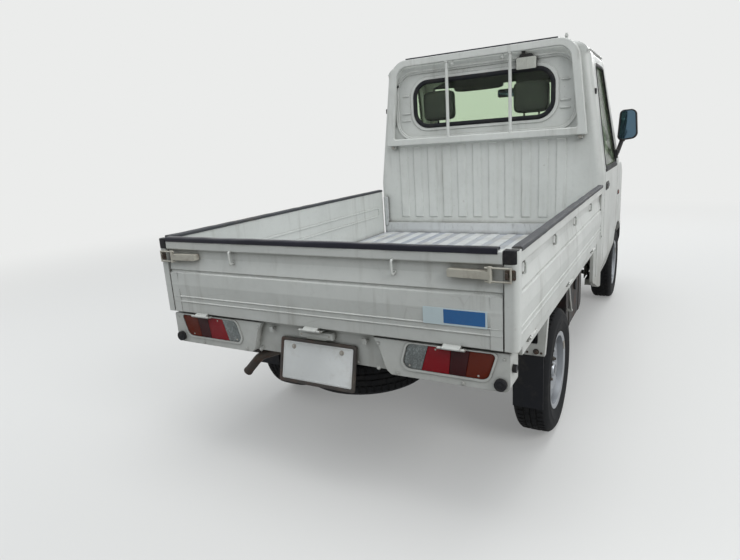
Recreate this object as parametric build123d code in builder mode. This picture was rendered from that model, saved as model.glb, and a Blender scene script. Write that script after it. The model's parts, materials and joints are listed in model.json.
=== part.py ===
"""Kei truck: a small cab-over pickup with a drop-side bed, as an assembly of separate pieces.

Frame: the truck faces -Y, its tail is at +Y, its left side is at +X, z = 0 is the ground.
Lengths are millimetres.
"""
import os
from copy import deepcopy
from math import cos, radians, sin, tan

from build123d import *

os.makedirs("parts", exist_ok=True)

# Overall size
LENGTH = 3395.0
WIDTH = 1475.0
HEIGHT = 1800.0
HALF_LENGTH = LENGTH / 2
HALF_WIDTH = WIDTH / 2
SIDES = (("left", 1), ("right", -1))

# Axles and wheels, tyre 145 wide on a 12 inch rim
WHEELBASE = 2200.0
REAR_AXLE_Y = 895.0
FRONT_AXLE_Y = REAR_AXLE_Y - WHEELBASE
TYRE_RADIUS = 268.0
TYRE_HALF = 72.5
RIM_SEAT = 153.0
AXLE_Z = TYRE_RADIUS
FRONT_TRACK_HALF = 650.0
REAR_TRACK_HALF = 645.0
ARCH_RADIUS = 318.0
WHEELS = (
    # name, centre x, centre y
    ("front_left", FRONT_TRACK_HALF, FRONT_AXLE_Y),
    ("front_right", -FRONT_TRACK_HALF, FRONT_AXLE_Y),
    ("rear_left", REAR_TRACK_HALF, REAR_AXLE_Y),
    ("rear_right", -REAR_TRACK_HALF, REAR_AXLE_Y),
)

# Bed
GATE_TOP = 945.0
GATE_BOTTOM = 641.0
GATE_DEPTH = 27.5
GATE_OUTER = 735.0
GATE_INNER = GATE_OUTER - GATE_DEPTH
GATE_FRONT = -250.0
TAILGATE_FACE = 1681.0
TAILGATE_INNER = TAILGATE_FACE - GATE_DEPTH
TAILGATE_HALF = 690.0
BED_FRONT = -279.0
BED_REAR = TAILGATE_INNER - 5
BED_HALF = 702.0
BED_TOP = 655.0
BED_SHEET = 15.0
BED_RAIL_OUTER = 722.0
BED_SILL_TOP = 632.0
HINGE_RADIUS = 4.5
HINGE_Z = 633.0
HINGE_LEAF = 30.0
KNUCKLE_INNER = HINGE_LEAF + 1
KNUCKLE_OUTER = HINGE_LEAF + 15
SIDE_HINGE_X = GATE_OUTER - 2.5
SIDE_HINGES_Y = (60.0, 780.0, 1480.0)
TAIL_HINGE_Y = TAILGATE_FACE + 11.5
TAIL_HINGES_X = (-530.0, 3.0, 541.0)

# Cab
CAB_HALF = 730.0
CAB_CORNER = 38.0
CAB_BACK = -285.0
CAB_FOOT = 330.0
WALL = 35.0
ROOF_SEAM = 1697.0
BACK_SEAM = -330.0
GAP = 7.0
DOOR_FRONT = -1150.0
DOOR_REAR = -400.0
DOOR_FOOT = 395.0
BELT = 1035.0
SCREEN_FOOT = (-1395.0, 1022.0)
SCREEN_TOP = (-925.0, 1752.0)
SCREEN_RADIUS = 2600.0
HOOD_REAR = -1440.0
HOOD_HALF = 500.0

# Chassis
RAIL_INNER = 350.0
RAIL_OUTER = 395.0
RAIL_TOP = 545.0
RAIL_BOTTOM = 460.0
CAB_RAIL_TOP = 405.0
CAB_RAIL_BOTTOM = 318.0

# Steering: the strut's line from lower ball joint to top mount, on the left side (x, z)
BALL_JOINT = (590.0, 175.0)
STRUT_TOP = (508.0, 690.0)


def strut_x(z):
    """X of the steering axis of the left wheel at height z."""
    share = (z - BALL_JOINT[1]) / (STRUT_TOP[1] - BALL_JOINT[1])
    return BALL_JOINT[0] + share * (STRUT_TOP[0] - BALL_JOINT[0])


def block(x0, x1, y0, y1, z0, z1, mode=Mode.ADD):
    """Box between two corners, inside the part that is being built."""
    size = (abs(x1 - x0), abs(y1 - y0), abs(z1 - z0))
    with Locations(((x0 + x1) / 2, (y0 + y1) / 2, (z0 + z1) / 2)):
        Box(*size, mode=mode)


def rod(start, end, radius, mode=Mode.ADD):
    """Round bar from one point to another."""
    axis = Vector(*end) - Vector(*start)
    with BuildSketch(Plane(origin=start, z_dir=axis)) as section:
        Circle(radius)
    extrude(to_extrude=section.sketch, amount=axis.length, mode=mode)


def prism(plane, corners, amount, both=False, mode=Mode.ADD):
    """Straight prism on a plane; each corner is (u, v) or (u, v, rounding radius)."""
    points = [corner[:2] for corner in corners]
    rounding = [corner[2] if len(corner) > 2 else 0 for corner in corners]
    with BuildSketch(plane) as section:
        with BuildLine():
            if any(rounding):
                FilletPolyline(*points, radius=rounding, close=True)
            else:
                Polyline(*points, close=True)
        make_face()
    extrude(to_extrude=section.sketch, amount=amount, both=both, mode=mode)


def side_slab(corners, x0, x1, mode=Mode.ADD):
    """Prism with a side-view outline (y, z), between two x."""
    prism(Plane.YZ.offset(min(x0, x1)), corners, abs(x1 - x0), mode=mode)


def rear_slab(corners, y0, y1, mode=Mode.ADD):
    """Prism with a rear-view outline (x, z), between two y."""
    prism(Plane.XZ.offset(-max(y0, y1)), corners, abs(y1 - y0), mode=mode)


def plan_slab(corners, z0, z1, mode=Mode.ADD):
    """Prism with a plan-view outline (x, y), between two z."""
    prism(Plane.XY.offset(min(z0, z1)), corners, abs(z1 - z0), mode=mode)


def tube_along(points, radius, bend, mode=Mode.ADD):
    """Round pipe along straight runs joined by arcs of at most the bend radius."""
    runs = [Vector(*end) - Vector(*start) for start, end in zip(points, points[1:])]
    bends = []
    for run, following in zip(runs, runs[1:]):
        half_turn = radians(run.get_angle(following)) / 2
        bends.append(min(bend, 0.45 * min(run.length, following.length) / tan(half_turn)))
    with BuildLine() as route:
        FilletPolyline(*points, radius=bends)
    line = route.line
    with BuildSketch(Plane(origin=line @ 0, z_dir=line % 0)) as section:
        Circle(radius)
    sweep(sections=section.sketch, path=line, mode=mode)


def export(name, piece):
    """Label a finished piece and write its STEP file."""
    piece.part.label = name
    export_step(piece.part, f"parts/{name}.step")


# Cab volume: everything inside the cab's skin, drawn in by an inset
CAB_LOWER_SIDE = (
    # y, z, rounding
    (CAB_BACK, CAB_FOOT, 0),
    (CAB_BACK, 1008.0, 0),
    (SCREEN_FOOT[0], SCREEN_FOOT[1], 0),
    (-1600.0, 885.0, 90),
    (-1655.0, 780.0, 120),
    (-1668.0, 560.0, 0),
    (-1625.0, 548.0, 0),
    (-1610.0, CAB_FOOT, 0),
)
CAB_UPPER_SIDE = (
    (CAB_BACK, 700.0, 0),
    (CAB_BACK, 1768.0, 45),
    (-640.0, 1802.0, 900),
    (-1000.0, 1768.0, 0),
    (-1420.0, 1000.0, 0),
    (-1420.0, 700.0, 0),
)


def cab_volume(inset):
    """The cab's outer form, moved in by inset on every side."""
    slope = Plane(
        origin=(0, *SCREEN_FOOT),
        x_dir=(1, 0, 0),
        z_dir=(0, SCREEN_TOP[0] - SCREEN_FOOT[0], SCREEN_TOP[1] - SCREEN_FOOT[1]),
    )
    with BuildSketch(Plane.YZ) as lower_side:
        with BuildLine():
            outline = [corner[:2] for corner in CAB_LOWER_SIDE]
            FilletPolyline(*outline, radius=[corner[2] for corner in CAB_LOWER_SIDE], close=True)
        make_face()
        if inset:
            offset(amount=-inset, kind=Kind.INTERSECTION)
    with BuildSketch(Plane.YZ) as upper_side:
        with BuildLine():
            outline = [corner[:2] for corner in CAB_UPPER_SIDE]
            FilletPolyline(*outline, radius=[corner[2] for corner in CAB_UPPER_SIDE], close=True)
        make_face()
        if inset:
            offset(amount=-inset, kind=Kind.INTERSECTION)
    with BuildSketch(Plane.XZ) as front:
        with BuildLine():
            foot = (CAB_HALF - 40, CAB_FOOT)
            flank = (CAB_HALF, 470.0)
            belt = (CAB_HALF, 1000.0)
            gutter = (640.0, 1680.0)
            crown = (560.0, 1757.0)
            Polyline(foot, flank, belt, gutter)
            ThreePointArc(gutter, (614.0, 1727.0), crown)
            ThreePointArc(crown, (0, HEIGHT), (-crown[0], crown[1]))
            ThreePointArc((-crown[0], crown[1]), (-614.0, 1727.0), (-gutter[0], gutter[1]))
            Polyline((-gutter[0], gutter[1]), (-belt[0], belt[1]), (-flank[0], flank[1]),
                     (-foot[0], foot[1]), foot)
        make_face()
        if inset:
            offset(amount=-inset, kind=Kind.INTERSECTION)
    with BuildSketch(Plane.XY) as plan:
        with BuildLine():
            Polyline((745, -1380), (745, -200), (-745, -200), (-745, -1380))
            ThreePointArc((-745, -1380), (-712, -1540), (-630, -1612))
            ThreePointArc((-630, -1612), (0, -1668.5), (630, -1612))
            ThreePointArc((630, -1612), (712, -1540), (745, -1380))
        make_face()
        if inset:
            offset(amount=-inset, kind=Kind.INTERSECTION)
    with BuildSketch(slope) as screen:
        with Locations((0, SCREEN_RADIUS)):
            Circle(SCREEN_RADIUS - inset)
    with BuildPart() as upper:
        extrude(to_extrude=upper_side.sketch, amount=HALF_WIDTH + 20, both=True)
        extrude(to_extrude=screen.sketch, amount=1600, both=True, mode=Mode.INTERSECT)
    with BuildPart() as volume:
        extrude(to_extrude=lower_side.sketch, amount=HALF_WIDTH + 20, both=True)
        extrude(to_extrude=plan.sketch, amount=2000, mode=Mode.INTERSECT)
        add(upper.part)
        extrude(to_extrude=front.sketch, amount=2500, both=True, mode=Mode.INTERSECT)
    return volume.part


with BuildPart() as cab_body:
    add(cab_volume(0))
    corners = cab_body.edges().filter_by_position(Axis.Y, CAB_BACK - 1, CAB_BACK + 1)
    fillet([edge for edge in corners if abs(edge.center().X) > 600 and edge.center().Z < 1660], CAB_CORNER)
CAB_OUTER = cab_body.part
CAB_INNER = cab_volume(WALL)
GLASS_OUTER = cab_volume(10)
GLASS_INNER = cab_volume(15)

# Side outlines that the panels share
ARCH_CUT = (FRONT_AXLE_Y, AXLE_Z)


def screen_y(x, z):
    """Y of the windscreen's outer face at (x, z)."""
    rise = SCREEN_TOP[1] - SCREEN_FOOT[1]
    run = SCREEN_TOP[0] - SCREEN_FOOT[0]
    length = (rise**2 + run**2) ** 0.5
    setback = SCREEN_RADIUS - (SCREEN_RADIUS**2 - x**2) ** 0.5
    along = (z - SCREEN_FOOT[1] + setback * run / length) * length / rise
    return SCREEN_FOOT[0] + along * run / length + setback * rise / length


def door_outline(margin):
    """Door in side view, grown by margin."""
    return (
        (DOOR_FRONT - margin, DOOR_FOOT - margin),
        (DOOR_FRONT - margin, BELT - 20),
        (-822.0 - margin * 1.1, 1690.0 + margin),
        (DOOR_REAR - 12 + margin, 1690.0 + margin, 30),
        (DOOR_REAR + margin, 1000.0),
        (DOOR_REAR + margin, DOOR_FOOT - margin, 20),
    )


WINDOW_OUTLINE = (
    (-1080.0, BELT, 20),
    (-808.0, 1640.0, 40),
    (-462.0, 1640.0, 40),
    (-452.0, BELT, 30),
)
SCREEN_OUTLINE = ((-640.0, 1062.0, 60), (640.0, 1062.0, 60), (560.0, 1690.0, 70), (-560.0, 1690.0, 70))
REAR_WINDOW = (880.0, 276.0, 1498.0, 92.0)  # width, height, centre z, corner radius


with BuildPart() as cab_skin:
    add(CAB_OUTER)
    add(CAB_INNER, mode=Mode.SUBTRACT)


def cab_shell():
    """Add the cab's whole skin to the part that is being built."""
    add(deepcopy(cab_skin.part))


def arch_hole(radius=ARCH_RADIUS):
    """Cut the front wheel arches right through the width."""
    for side, sign in SIDES:
        start = (sign * 425.0, *ARCH_CUT)
        rod(start, (sign * 760.0, *ARCH_CUT), radius, mode=Mode.SUBTRACT)


# Roof with the windscreen pillars and header
with BuildPart() as cab_roof:
    cab_shell()
    side_slab(((-200, ROOF_SEAM), (-800, ROOF_SEAM), (-1060, 1045), (-1700, 1045), (-1700, 1900),
               (-200, 1900)), -760, 760, mode=Mode.INTERSECT)
    side_slab(door_outline(GAP), -760, 760, mode=Mode.SUBTRACT)
    rear_slab(SCREEN_OUTLINE, -1700, -880, mode=Mode.SUBTRACT)
export("cab_roof", cab_roof)

# Back panel with its pressed recess, window hole and upright ribs
RIB_PITCH = 104.0
RIB_COUNT = 11
RIB_FOOT, RIB_TOP = 757.0, 1230.0
RECESS_DEPTH = 9.0
RECESS_CENTRE_Z = 1492.0
BEADS = (
    # centre |x|, centre z, length
    (510.0, 1402.0, 62.0),
    (510.0, 1446.0, 62.0),
    (510.0, 1560.0, 50.0),
)
with BuildPart() as cab_back_panel:
    cab_shell()
    block(-760, 760, BACK_SEAM, -200, 450, ROOF_SEAM, mode=Mode.INTERSECT)
    for side, sign in SIDES:
        block(sign * 640, sign * 760, BACK_SEAM - 10, -200, 300, 645, mode=Mode.SUBTRACT)
    with BuildSketch(Plane.XZ.offset(-CAB_BACK)) as border:
        with Locations((0, RECESS_CENTRE_Z)):
            RectangleRounded(1170, 440, 130)
            RectangleRounded(1146, 416, 118, mode=Mode.SUBTRACT)
    extrude(to_extrude=border.sketch, amount=-4, taper=30)
    with BuildSketch(Plane.XZ.offset(-CAB_BACK)) as recess:
        with Locations((0, RECESS_CENTRE_Z)):
            RectangleRounded(1130, 400, 110)
    extrude(to_extrude=recess.sketch, amount=RECESS_DEPTH, taper=20, mode=Mode.SUBTRACT)
    with BuildSketch(Plane.XZ.offset(-CAB_BACK + RECESS_DEPTH)) as raised:
        with Locations((0, REAR_WINDOW[2])):
            RectangleRounded(REAR_WINDOW[0] + 72, REAR_WINDOW[1] + 66, REAR_WINDOW[3] + 30)
        for x, z, length in BEADS:
            with Locations((x, z), (-x, z)):
                SlotOverall(length, 12)
    extrude(to_extrude=raised.sketch, amount=-6, taper=35)
    with BuildSketch(Plane.XZ.offset(-CAB_BACK)) as hole:
        with Locations((0, REAR_WINDOW[2])):
            RectangleRounded(REAR_WINDOW[0], REAR_WINDOW[1], REAR_WINDOW[3])
    extrude(to_extrude=hole.sketch, amount=60, mode=Mode.SUBTRACT)
    with BuildSketch(Plane.XZ.offset(-CAB_BACK)) as ribs:
        for i in range(RIB_COUNT):
            with Locations((RIB_PITCH * (i - (RIB_COUNT - 1) / 2) + 25, (RIB_FOOT + RIB_TOP) / 2)):
                Rectangle(60, RIB_TOP - RIB_FOOT)
    extrude(to_extrude=ribs.sketch, amount=-6, taper=45)
export("cab_back_panel", cab_back_panel)

# Side panels: rear pillar, sill and the lower quarter that runs on under the bed
SILL_FRONT = -1030.0
QUARTER_OUTLINE = (
    # y, z, rounding
    (BACK_SEAM, CAB_FOOT, 0),
    (-290.0, 332.0, 40),
    (-205.0, 372.0, 40),
    (-152.0, 388.0, 22),
    (-148.0, BED_SILL_TOP, 0),
    (BACK_SEAM, BED_SILL_TOP, 0),
)
QUARTER_TAPER = ((CAB_HALF, BACK_SEAM + 0.5), (760, -60), (708, -147), (718, -262))  # x, y
with BuildPart() as cab_side_left:
    cab_shell()
    block(500, 760, SILL_FRONT, BACK_SEAM, CAB_FOOT, ROOF_SEAM, mode=Mode.INTERSECT)
    side_slab(door_outline(GAP), 500, 760, mode=Mode.SUBTRACT)
    side_slab(((-940, 560), (DOOR_FRONT, 560), (DOOR_FRONT, 1720), (-820, 1720)), 500, 760,
              mode=Mode.SUBTRACT)
    block(500, 640, SILL_FRONT, -200, 300, 640, mode=Mode.SUBTRACT)
    arch_hole()
    side_slab(QUARTER_OUTLINE, 690, CAB_HALF)
    plan_slab(QUARTER_TAPER, 300, 645, mode=Mode.SUBTRACT)
    rod((726, -222, 412), (726, -222, 608), 16, mode=Mode.SUBTRACT)
export("cab_side_left", cab_side_left)
with BuildPart() as cab_side_right:
    mirror(cab_side_left.part, about=Plane.YZ)
export("cab_side_right", cab_side_right)

# Front panel with the fenders and wheel arches; hood, grille slot and lamps are cut out of it
HOOD_FOOT = 815.0
HEADLAMP = (
    # |x|, z, rounding
    (470.0, 652.0, 25),
    (655.0, 640.0, 50),
    (712.0, 700.0, 20),
    (716.0, 842.0, 20),
    (560.0, 806.0, 60),
)
GRILLE = ((-430.0, 672.0, 14), (430.0, 672.0, 14), (446.0, 742.0, 14), (-446.0, 742.0, 14))


LAMP_REACH = -1502.0


def hood_region(margin, mode):
    """Keep or cut the hood's place, grown by margin."""
    plan = ((-HOOD_HALF - margin, HOOD_REAR + margin), (HOOD_HALF + margin, HOOD_REAR + margin),
            (HOOD_HALF - 30 + margin, -1720), (-HOOD_HALF + 30 - margin, -1720))
    plan_slab(plan, HOOD_FOOT - margin, 1040, mode=mode)


with BuildPart() as front_panel:
    cab_shell()
    side_slab(((DOOR_FRONT - GAP, 300), (DOOR_FRONT - GAP, 1045), (-1700, 1045), (-1700, 300)), -760, 760,
              mode=Mode.INTERSECT)
    hood_region(GAP, Mode.SUBTRACT)
    rear_slab(GRILLE, -1720, -1500, mode=Mode.SUBTRACT)
    for side, sign in SIDES:
        rear_slab([(sign * x, z, r) for x, z, r in HEADLAMP], -1720, LAMP_REACH, mode=Mode.SUBTRACT)
    block(-640, 640, -1598, -1100, 300, 420, mode=Mode.SUBTRACT)
    block(-760, 760, -1700, -1571, 300, 549, mode=Mode.SUBTRACT)
    arch_hole()
export("front_panel", front_panel)

with BuildPart() as hood:
    add(CAB_OUTER)
    add(cab_volume(18), mode=Mode.SUBTRACT)
    hood_region(0, Mode.INTERSECT)
export("hood", hood)

# Headlamps, both in one node, set a little into the panel
with BuildPart() as lamp_places:
    for side, sign in SIDES:
        rear_slab([(sign * x, z, r) for x, z, r in HEADLAMP], -1720, LAMP_REACH)
with BuildPart() as headlamps:
    add(cab_volume(3))
    add(cab_volume(45), mode=Mode.SUBTRACT)
    add(lamp_places.part, mode=Mode.INTERSECT)
export("headlamps", headlamps)

# Bars behind the grille slot
with BuildPart() as grille:
    add(cab_volume(10))
    add(cab_volume(WALL), mode=Mode.SUBTRACT)
    rear_slab(GRILLE, -1720, -1500, mode=Mode.INTERSECT)
    for z in (694.0, 716.0):
        block(-430, 430, -1720, -1640, z - 5, z + 5, mode=Mode.SUBTRACT)
export("grille", grille)

# Front bumper, wrapped round the corners
BUMPER_FOOT, BUMPER_TOP = 335.0, 546.0
with BuildPart() as front_bumper:
    with BuildSketch(Plane.XY.offset(BUMPER_FOOT)) as bumper_plan:
        with BuildLine():
            ThreePointArc((655, -1640), (0, -HALF_LENGTH), (-655, -1640))
            ThreePointArc((-655, -1640), (-708, -1612), (-726, -1572))
            Line((-726, -1572), (-690, -1572))
            ThreePointArc((-690, -1572), (-672, -1590), (-640, -1604))
            ThreePointArc((-640, -1604), (0, -HALF_LENGTH + 32), (640, -1604))
            ThreePointArc((640, -1604), (672, -1590), (690, -1572))
            Line((690, -1572), (726, -1572))
            ThreePointArc((726, -1572), (708, -1612), (655, -1640))
        make_face()
    extrude(to_extrude=bumper_plan.sketch, amount=BUMPER_TOP - BUMPER_FOOT)
    rear_slab(((-330, 385, 18), (330, 385, 18), (330, 440, 18), (-330, 440, 18)), -1720, -1600,
              mode=Mode.SUBTRACT)
    for side, sign in SIDES:
        block(sign * RAIL_INNER, sign * RAIL_OUTER, -1665, -1570, 345, 400)
    arch_hole()
export("front_bumper", front_bumper)

# Doors with their window holes
with BuildPart() as door_left:
    cab_shell()
    side_slab(door_outline(0), 500, 760, mode=Mode.INTERSECT)
    side_slab(WINDOW_OUTLINE, 500, 760, mode=Mode.SUBTRACT)
    arch_hole(ARCH_RADIUS + GAP)
export("door_left", door_left)
with BuildPart() as door_right:
    mirror(door_left.part, about=Plane.YZ)
export("door_right", door_right)

with BuildPart() as door_glass_left:
    add(GLASS_OUTER)
    add(GLASS_INNER, mode=Mode.SUBTRACT)
    side_slab(WINDOW_OUTLINE, 500, 760, mode=Mode.INTERSECT)
export("door_glass_left", door_glass_left)
with BuildPart() as door_glass_right:
    mirror(door_glass_left.part, about=Plane.YZ)
export("door_glass_right", door_glass_right)

with BuildPart() as windscreen:
    add(cab_volume(6))
    add(cab_volume(12), mode=Mode.SUBTRACT)
    rear_slab(SCREEN_OUTLINE, -1700, -880, mode=Mode.INTERSECT)
export("windscreen", windscreen)

with BuildPart() as rear_window:
    with BuildSketch(Plane.XZ.offset(-(CAB_BACK - 12))) as pane:
        with Locations((0, REAR_WINDOW[2])):
            RectangleRounded(REAR_WINDOW[0], REAR_WINDOW[1], REAR_WINDOW[3])
    extrude(to_extrude=pane.sketch, amount=5)
export("rear_window", rear_window)

# Door mirrors: foot on the door's front corner, arm and housing with a rounded front
MIRROR_FRONT, MIRROR_REAR = -1140.0, -1076.0
MIRROR_OUTLINE = ((735, 1384, 30), (838, 1388, 38), (852, 1192, 40), (722, 1178, 30))  # x, z, radius
MIRROR_FOOT = ((-1113, 1062, 8), (-1072, 1062, 8), (-1044, 1125, 8), (-1086, 1125, 8))  # y, z, radius
with BuildPart() as mirror_left:
    rear_slab(MIRROR_OUTLINE, MIRROR_FRONT, MIRROR_REAR)
    fillet(mirror_left.faces().sort_by(Axis.Y)[0].edges(), 16)
    rod((727, -1082, 1098), (757, -1108, 1200), 14)
    side_slab(MIRROR_FOOT, 695, 731)
    add(CAB_OUTER, mode=Mode.SUBTRACT)
export("mirror_left", mirror_left)
with BuildPart() as mirror_right:
    mirror(mirror_left.part, about=Plane.YZ)
export("mirror_right", mirror_right)

# Wipers resting on the windscreen's foot
with BuildPart() as wipers:
    for start_x, end_x in ((470.0, 20.0), (0.0, -450.0)):
        stations = (0.14, 0.4, 0.7, 1.0)
        blade = [(start_x, -1420, 1044)]
        for share in stations:
            x = start_x + (end_x - start_x) * share
            z = 1070 + 18 * share
            blade.append((x, screen_y(x, z) - 9, z))
        tube_along(blade, 6, 60)
        rod((start_x, -1420, 1013), (start_x, -1420, 1048), 11)
export("wipers", wipers)

# Cab floor: firewall, foot space, seat box and front wheel houses
WHEEL_HOUSE_FRONT = -1560.0
with BuildPart() as cab_floor:
    side_slab(((-1480, 985), (-1460, 480), (-1420, 432), (-855, 432), (-840, 690), (-320, 690),
               (-320, 670), (-822, 670), (-838, 412), (-1430, 412), (-1480, 470), (-1500, 985)), -720, 720)
    for side, sign in SIDES:
        rod((sign * 413.0, *ARCH_CUT), (sign * 720.0, *ARCH_CUT), ARCH_RADIUS + 12)
    arch_hole()
    for side, sign in SIDES:
        rod((sign * strut_x(577), FRONT_AXLE_Y, 577), (sign * strut_x(600), FRONT_AXLE_Y, 600), 48)
    block(-900, 900, -1700, -200, 0, 408, mode=Mode.SUBTRACT)
    block(-900, 900, -1700, WHEEL_HOUSE_FRONT, 0, 600, mode=Mode.SUBTRACT)
    add(CAB_INNER, mode=Mode.INTERSECT)
export("cab_floor", cab_floor)

# Dashboard with the steering column
COLUMN_X = -330.0
COLUMN_TOP = (COLUMN_X, -1066.0, 950.0)
COLUMN_TILT = 60.0
COLUMN_DIR = Vector(0, cos(radians(COLUMN_TILT)), sin(radians(COLUMN_TILT)))
with BuildPart() as dashboard:
    side_slab(((-1478, 985), (-1455, 730), (-1250, 712), (-1215, 800), (-1222, 940, 20), (-1300, 1010, 20),
               (-1400, 1000)), -640, 640)
    rear_slab(((-500, 960), (-160, 960), (-190, 1055, 30), (-470, 1055, 30)), -1330, -1235)
    column_foot = Vector(*COLUMN_TOP) - COLUMN_DIR * 330
    rod(tuple(column_foot), COLUMN_TOP, 26)
    block(COLUMN_X - 20, COLUMN_X + 20, -1270, -1140, 820, 850)
    add(CAB_INNER, mode=Mode.INTERSECT)
export("dashboard", dashboard)

WHEEL_RADIUS = 180.0
with BuildPart() as steering_wheel:
    hub = Vector(*COLUMN_TOP) + COLUMN_DIR * 22
    rim_plane = Plane(origin=tuple(hub), x_dir=(1, 0, 0), z_dir=tuple(COLUMN_DIR))
    with Locations(rim_plane):
        Torus(WHEEL_RADIUS, 13)
        Cylinder(42, 34)
    rod(tuple(Vector(*COLUMN_TOP) + COLUMN_DIR * 0.5), tuple(hub), 20)
    for angle in (200, 340, 90):
        across = rim_plane.x_dir * (WHEEL_RADIUS * cos(radians(angle)))
        upward = rim_plane.y_dir * (WHEEL_RADIUS * sin(radians(angle)))
        rod(tuple(hub), tuple(hub + across + upward), 10)
export("steering_wheel", steering_wheel)

# Seats: cushion, backrest and headrest of each
SEAT_X = 322.0
for side, sign in SIDES:
    with BuildPart() as seat:
        x = sign * SEAT_X
        side_slab(((-850, 690, 12), (-850, 790, 40), (-440, 770, 20), (-440, 690, 0)), x - 235, x + 235)
        side_slab(((-470, 772), (-385, 1370, 25), (-330, 1370, 10), (-330, 700), (-440, 700)),
                  x - 225, x + 225)
        side_slab(((-432, 1385, 25), (-412, 1600, 30), (-345, 1600, 25), (-345, 1385, 15)), x - 130, x + 130)
        block(x - 70, x + 70, -385, -350, 1360, 1390)
    export(f"seat_{side}", seat)

# Guard frame behind the cab window, with two upright bars, rope hooks and its feet
FRAME_Y = (-259.0, -233.0)
FRAME_MIDDLE_Y = -246.0
FRAME_OUTLINE = ((643.0, 1242.0, 8), (584.0, 1781.0, 124))  # half width, z, rounding
FRAME_HOLE = ((589.0, 1286.0, 14), (540.0, 1737.0, 80))
FRAME_BARS_X = (-200.0, 200.0)
FRAME_HOOKS_X = (-157.0, 157.0)


def both_halves(corners):
    """Closed outline from the corners of its right half: x, z, rounding."""
    return list(corners) + [(-x, z, rounding) for x, z, rounding in reversed(corners)]


with BuildPart() as guard_frame:
    rear_slab(both_halves(FRAME_OUTLINE), *FRAME_Y)
    rear_slab(both_halves(FRAME_HOLE), FRAME_Y[0] - 5, FRAME_Y[1] + 5, mode=Mode.SUBTRACT)
    fillet(guard_frame.faces().sort_by(Axis.Y)[-1].edges(), 7)
    fillet(guard_frame.faces().sort_by(Axis.Y)[0].edges(), 7)
    for x in FRAME_BARS_X:
        rod((x, FRAME_MIDDLE_Y, 1275), (x, FRAME_MIDDLE_Y, 1745), 10)
    for x in FRAME_HOOKS_X:
        hook_route = ((x, FRAME_MIDDLE_Y, 1742), (x, FRAME_MIDDLE_Y, 1712), (x, -222, 1712), (x, -222, 1722))
        tube_along(hook_route, 4, 6)
    for side, sign in SIDES:
        block(sign * 588, sign * 618, CAB_BACK, -250, 1222, 1256)
        block(sign * 588, sign * 612, CAB_BACK, FRAME_MIDDLE_Y, 1380, 1400)
    rod((-518, FRAME_MIDDLE_Y, 1750), (-518, FRAME_MIDDLE_Y, 1798), 7)
export("guard_frame", guard_frame)

# Bed: ribbed floor, front board and posts, cross bearers, side rails, arch brackets
FLOOR_RIBS = 13
BEARERS = (
    # y, half width
    (-115.0, 690.0),
    (150.0, 690.0),
    (520.0, 690.0),
    (REAR_AXLE_Y, 560.0),
    (1300.0, 690.0),
    (1545.0, 690.0),
)
BED_LENGTH = BED_REAR - BED_FRONT
BED_MIDDLE_Y = (BED_FRONT + BED_REAR) / 2
FLOOR_UNDER = BED_TOP - BED_SHEET
FLOOR_BASE = BED_TOP - 5
BRACKET_Y = 1186.0
BRACKET_OUTLINE = ((601, 440, 6), (708, 440, 6), (720, BED_SILL_TOP), (601, BED_SILL_TOP))
BRACKET_WINDOW = ((640, 487, 8), (684, 487, 8), (687, 600, 8), (640, 600, 8))
BRACKET_FLANGE = ((706, 440), (710, 440), (723, BED_SILL_TOP), (719, BED_SILL_TOP))
with BuildPart() as bed_floor:
    block(-BED_HALF, BED_HALF, BED_FRONT, BED_REAR, FLOOR_UNDER, FLOOR_BASE)
    with BuildSketch(Plane.XY.offset(FLOOR_BASE)) as floor_ribs:
        for i in range(FLOOR_RIBS):
            with Locations((RIB_PITCH * (i - (FLOOR_RIBS - 1) / 2), BED_MIDDLE_Y)):
                Rectangle(64, BED_LENGTH - 60)
    extrude(to_extrude=floor_ribs.sketch, amount=5, taper=45)
    block(-BED_HALF, BED_HALF, BED_FRONT, -262, FLOOR_BASE, 721)
    for side, sign in SIDES:
        block(sign * 676, sign * BED_HALF, BED_FRONT, -257, 700, 900)
        block(sign * 688, sign * 710, 1633, 1660, 630, 660, mode=Mode.SUBTRACT)
export("bed_floor", bed_floor)

with BuildPart() as bed_frame:
    for y, half in BEARERS:
        block(-half, half, y - 30, y + 30, RAIL_TOP, FLOOR_UNDER)
    block(-690, 690, REAR_AXLE_Y - 30, REAR_AXLE_Y + 30, 628, FLOOR_UNDER)
    for side, sign in SIDES:
        block(sign * 690, sign * BED_RAIL_OUTER, -140, 1578, 596, BED_SILL_TOP)
        for y in SIDE_HINGES_Y:
            for reach in (-1, 1):
                start = y + reach * KNUCKLE_INNER
                end = y + reach * KNUCKLE_OUTER
                rod((sign * SIDE_HINGE_X, start, HINGE_Z), (sign * SIDE_HINGE_X, end, HINGE_Z), HINGE_RADIUS)
                block(sign * 716, sign * 730, start, end, 621, HINGE_Z)
        bracket = [(sign * corner[0], *corner[1:]) for corner in BRACKET_OUTLINE]
        window = [(sign * corner[0], *corner[1:]) for corner in BRACKET_WINDOW]
        rear_slab(bracket, BRACKET_Y, BRACKET_Y + 4)
        rear_slab(window, BRACKET_Y - 5, BRACKET_Y + 10, mode=Mode.SUBTRACT)
        rear_slab([(sign * x, z) for x, z in BRACKET_FLANGE], BRACKET_Y - 26, BRACKET_Y + 4)
        rod((sign * 700, 640, 611), (sign * 700, 535, 428), 5)
        block(sign * 680, sign * 706, 527, 543, 424, 432)
export("bed_frame", bed_frame)

with BuildPart() as mud_flaps:
    for side, sign in SIDES:
        block(sign * 588, sign * 706, BRACKET_Y - 5, BRACKET_Y, 215, 476)
export("mud_flaps", mud_flaps)

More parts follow.
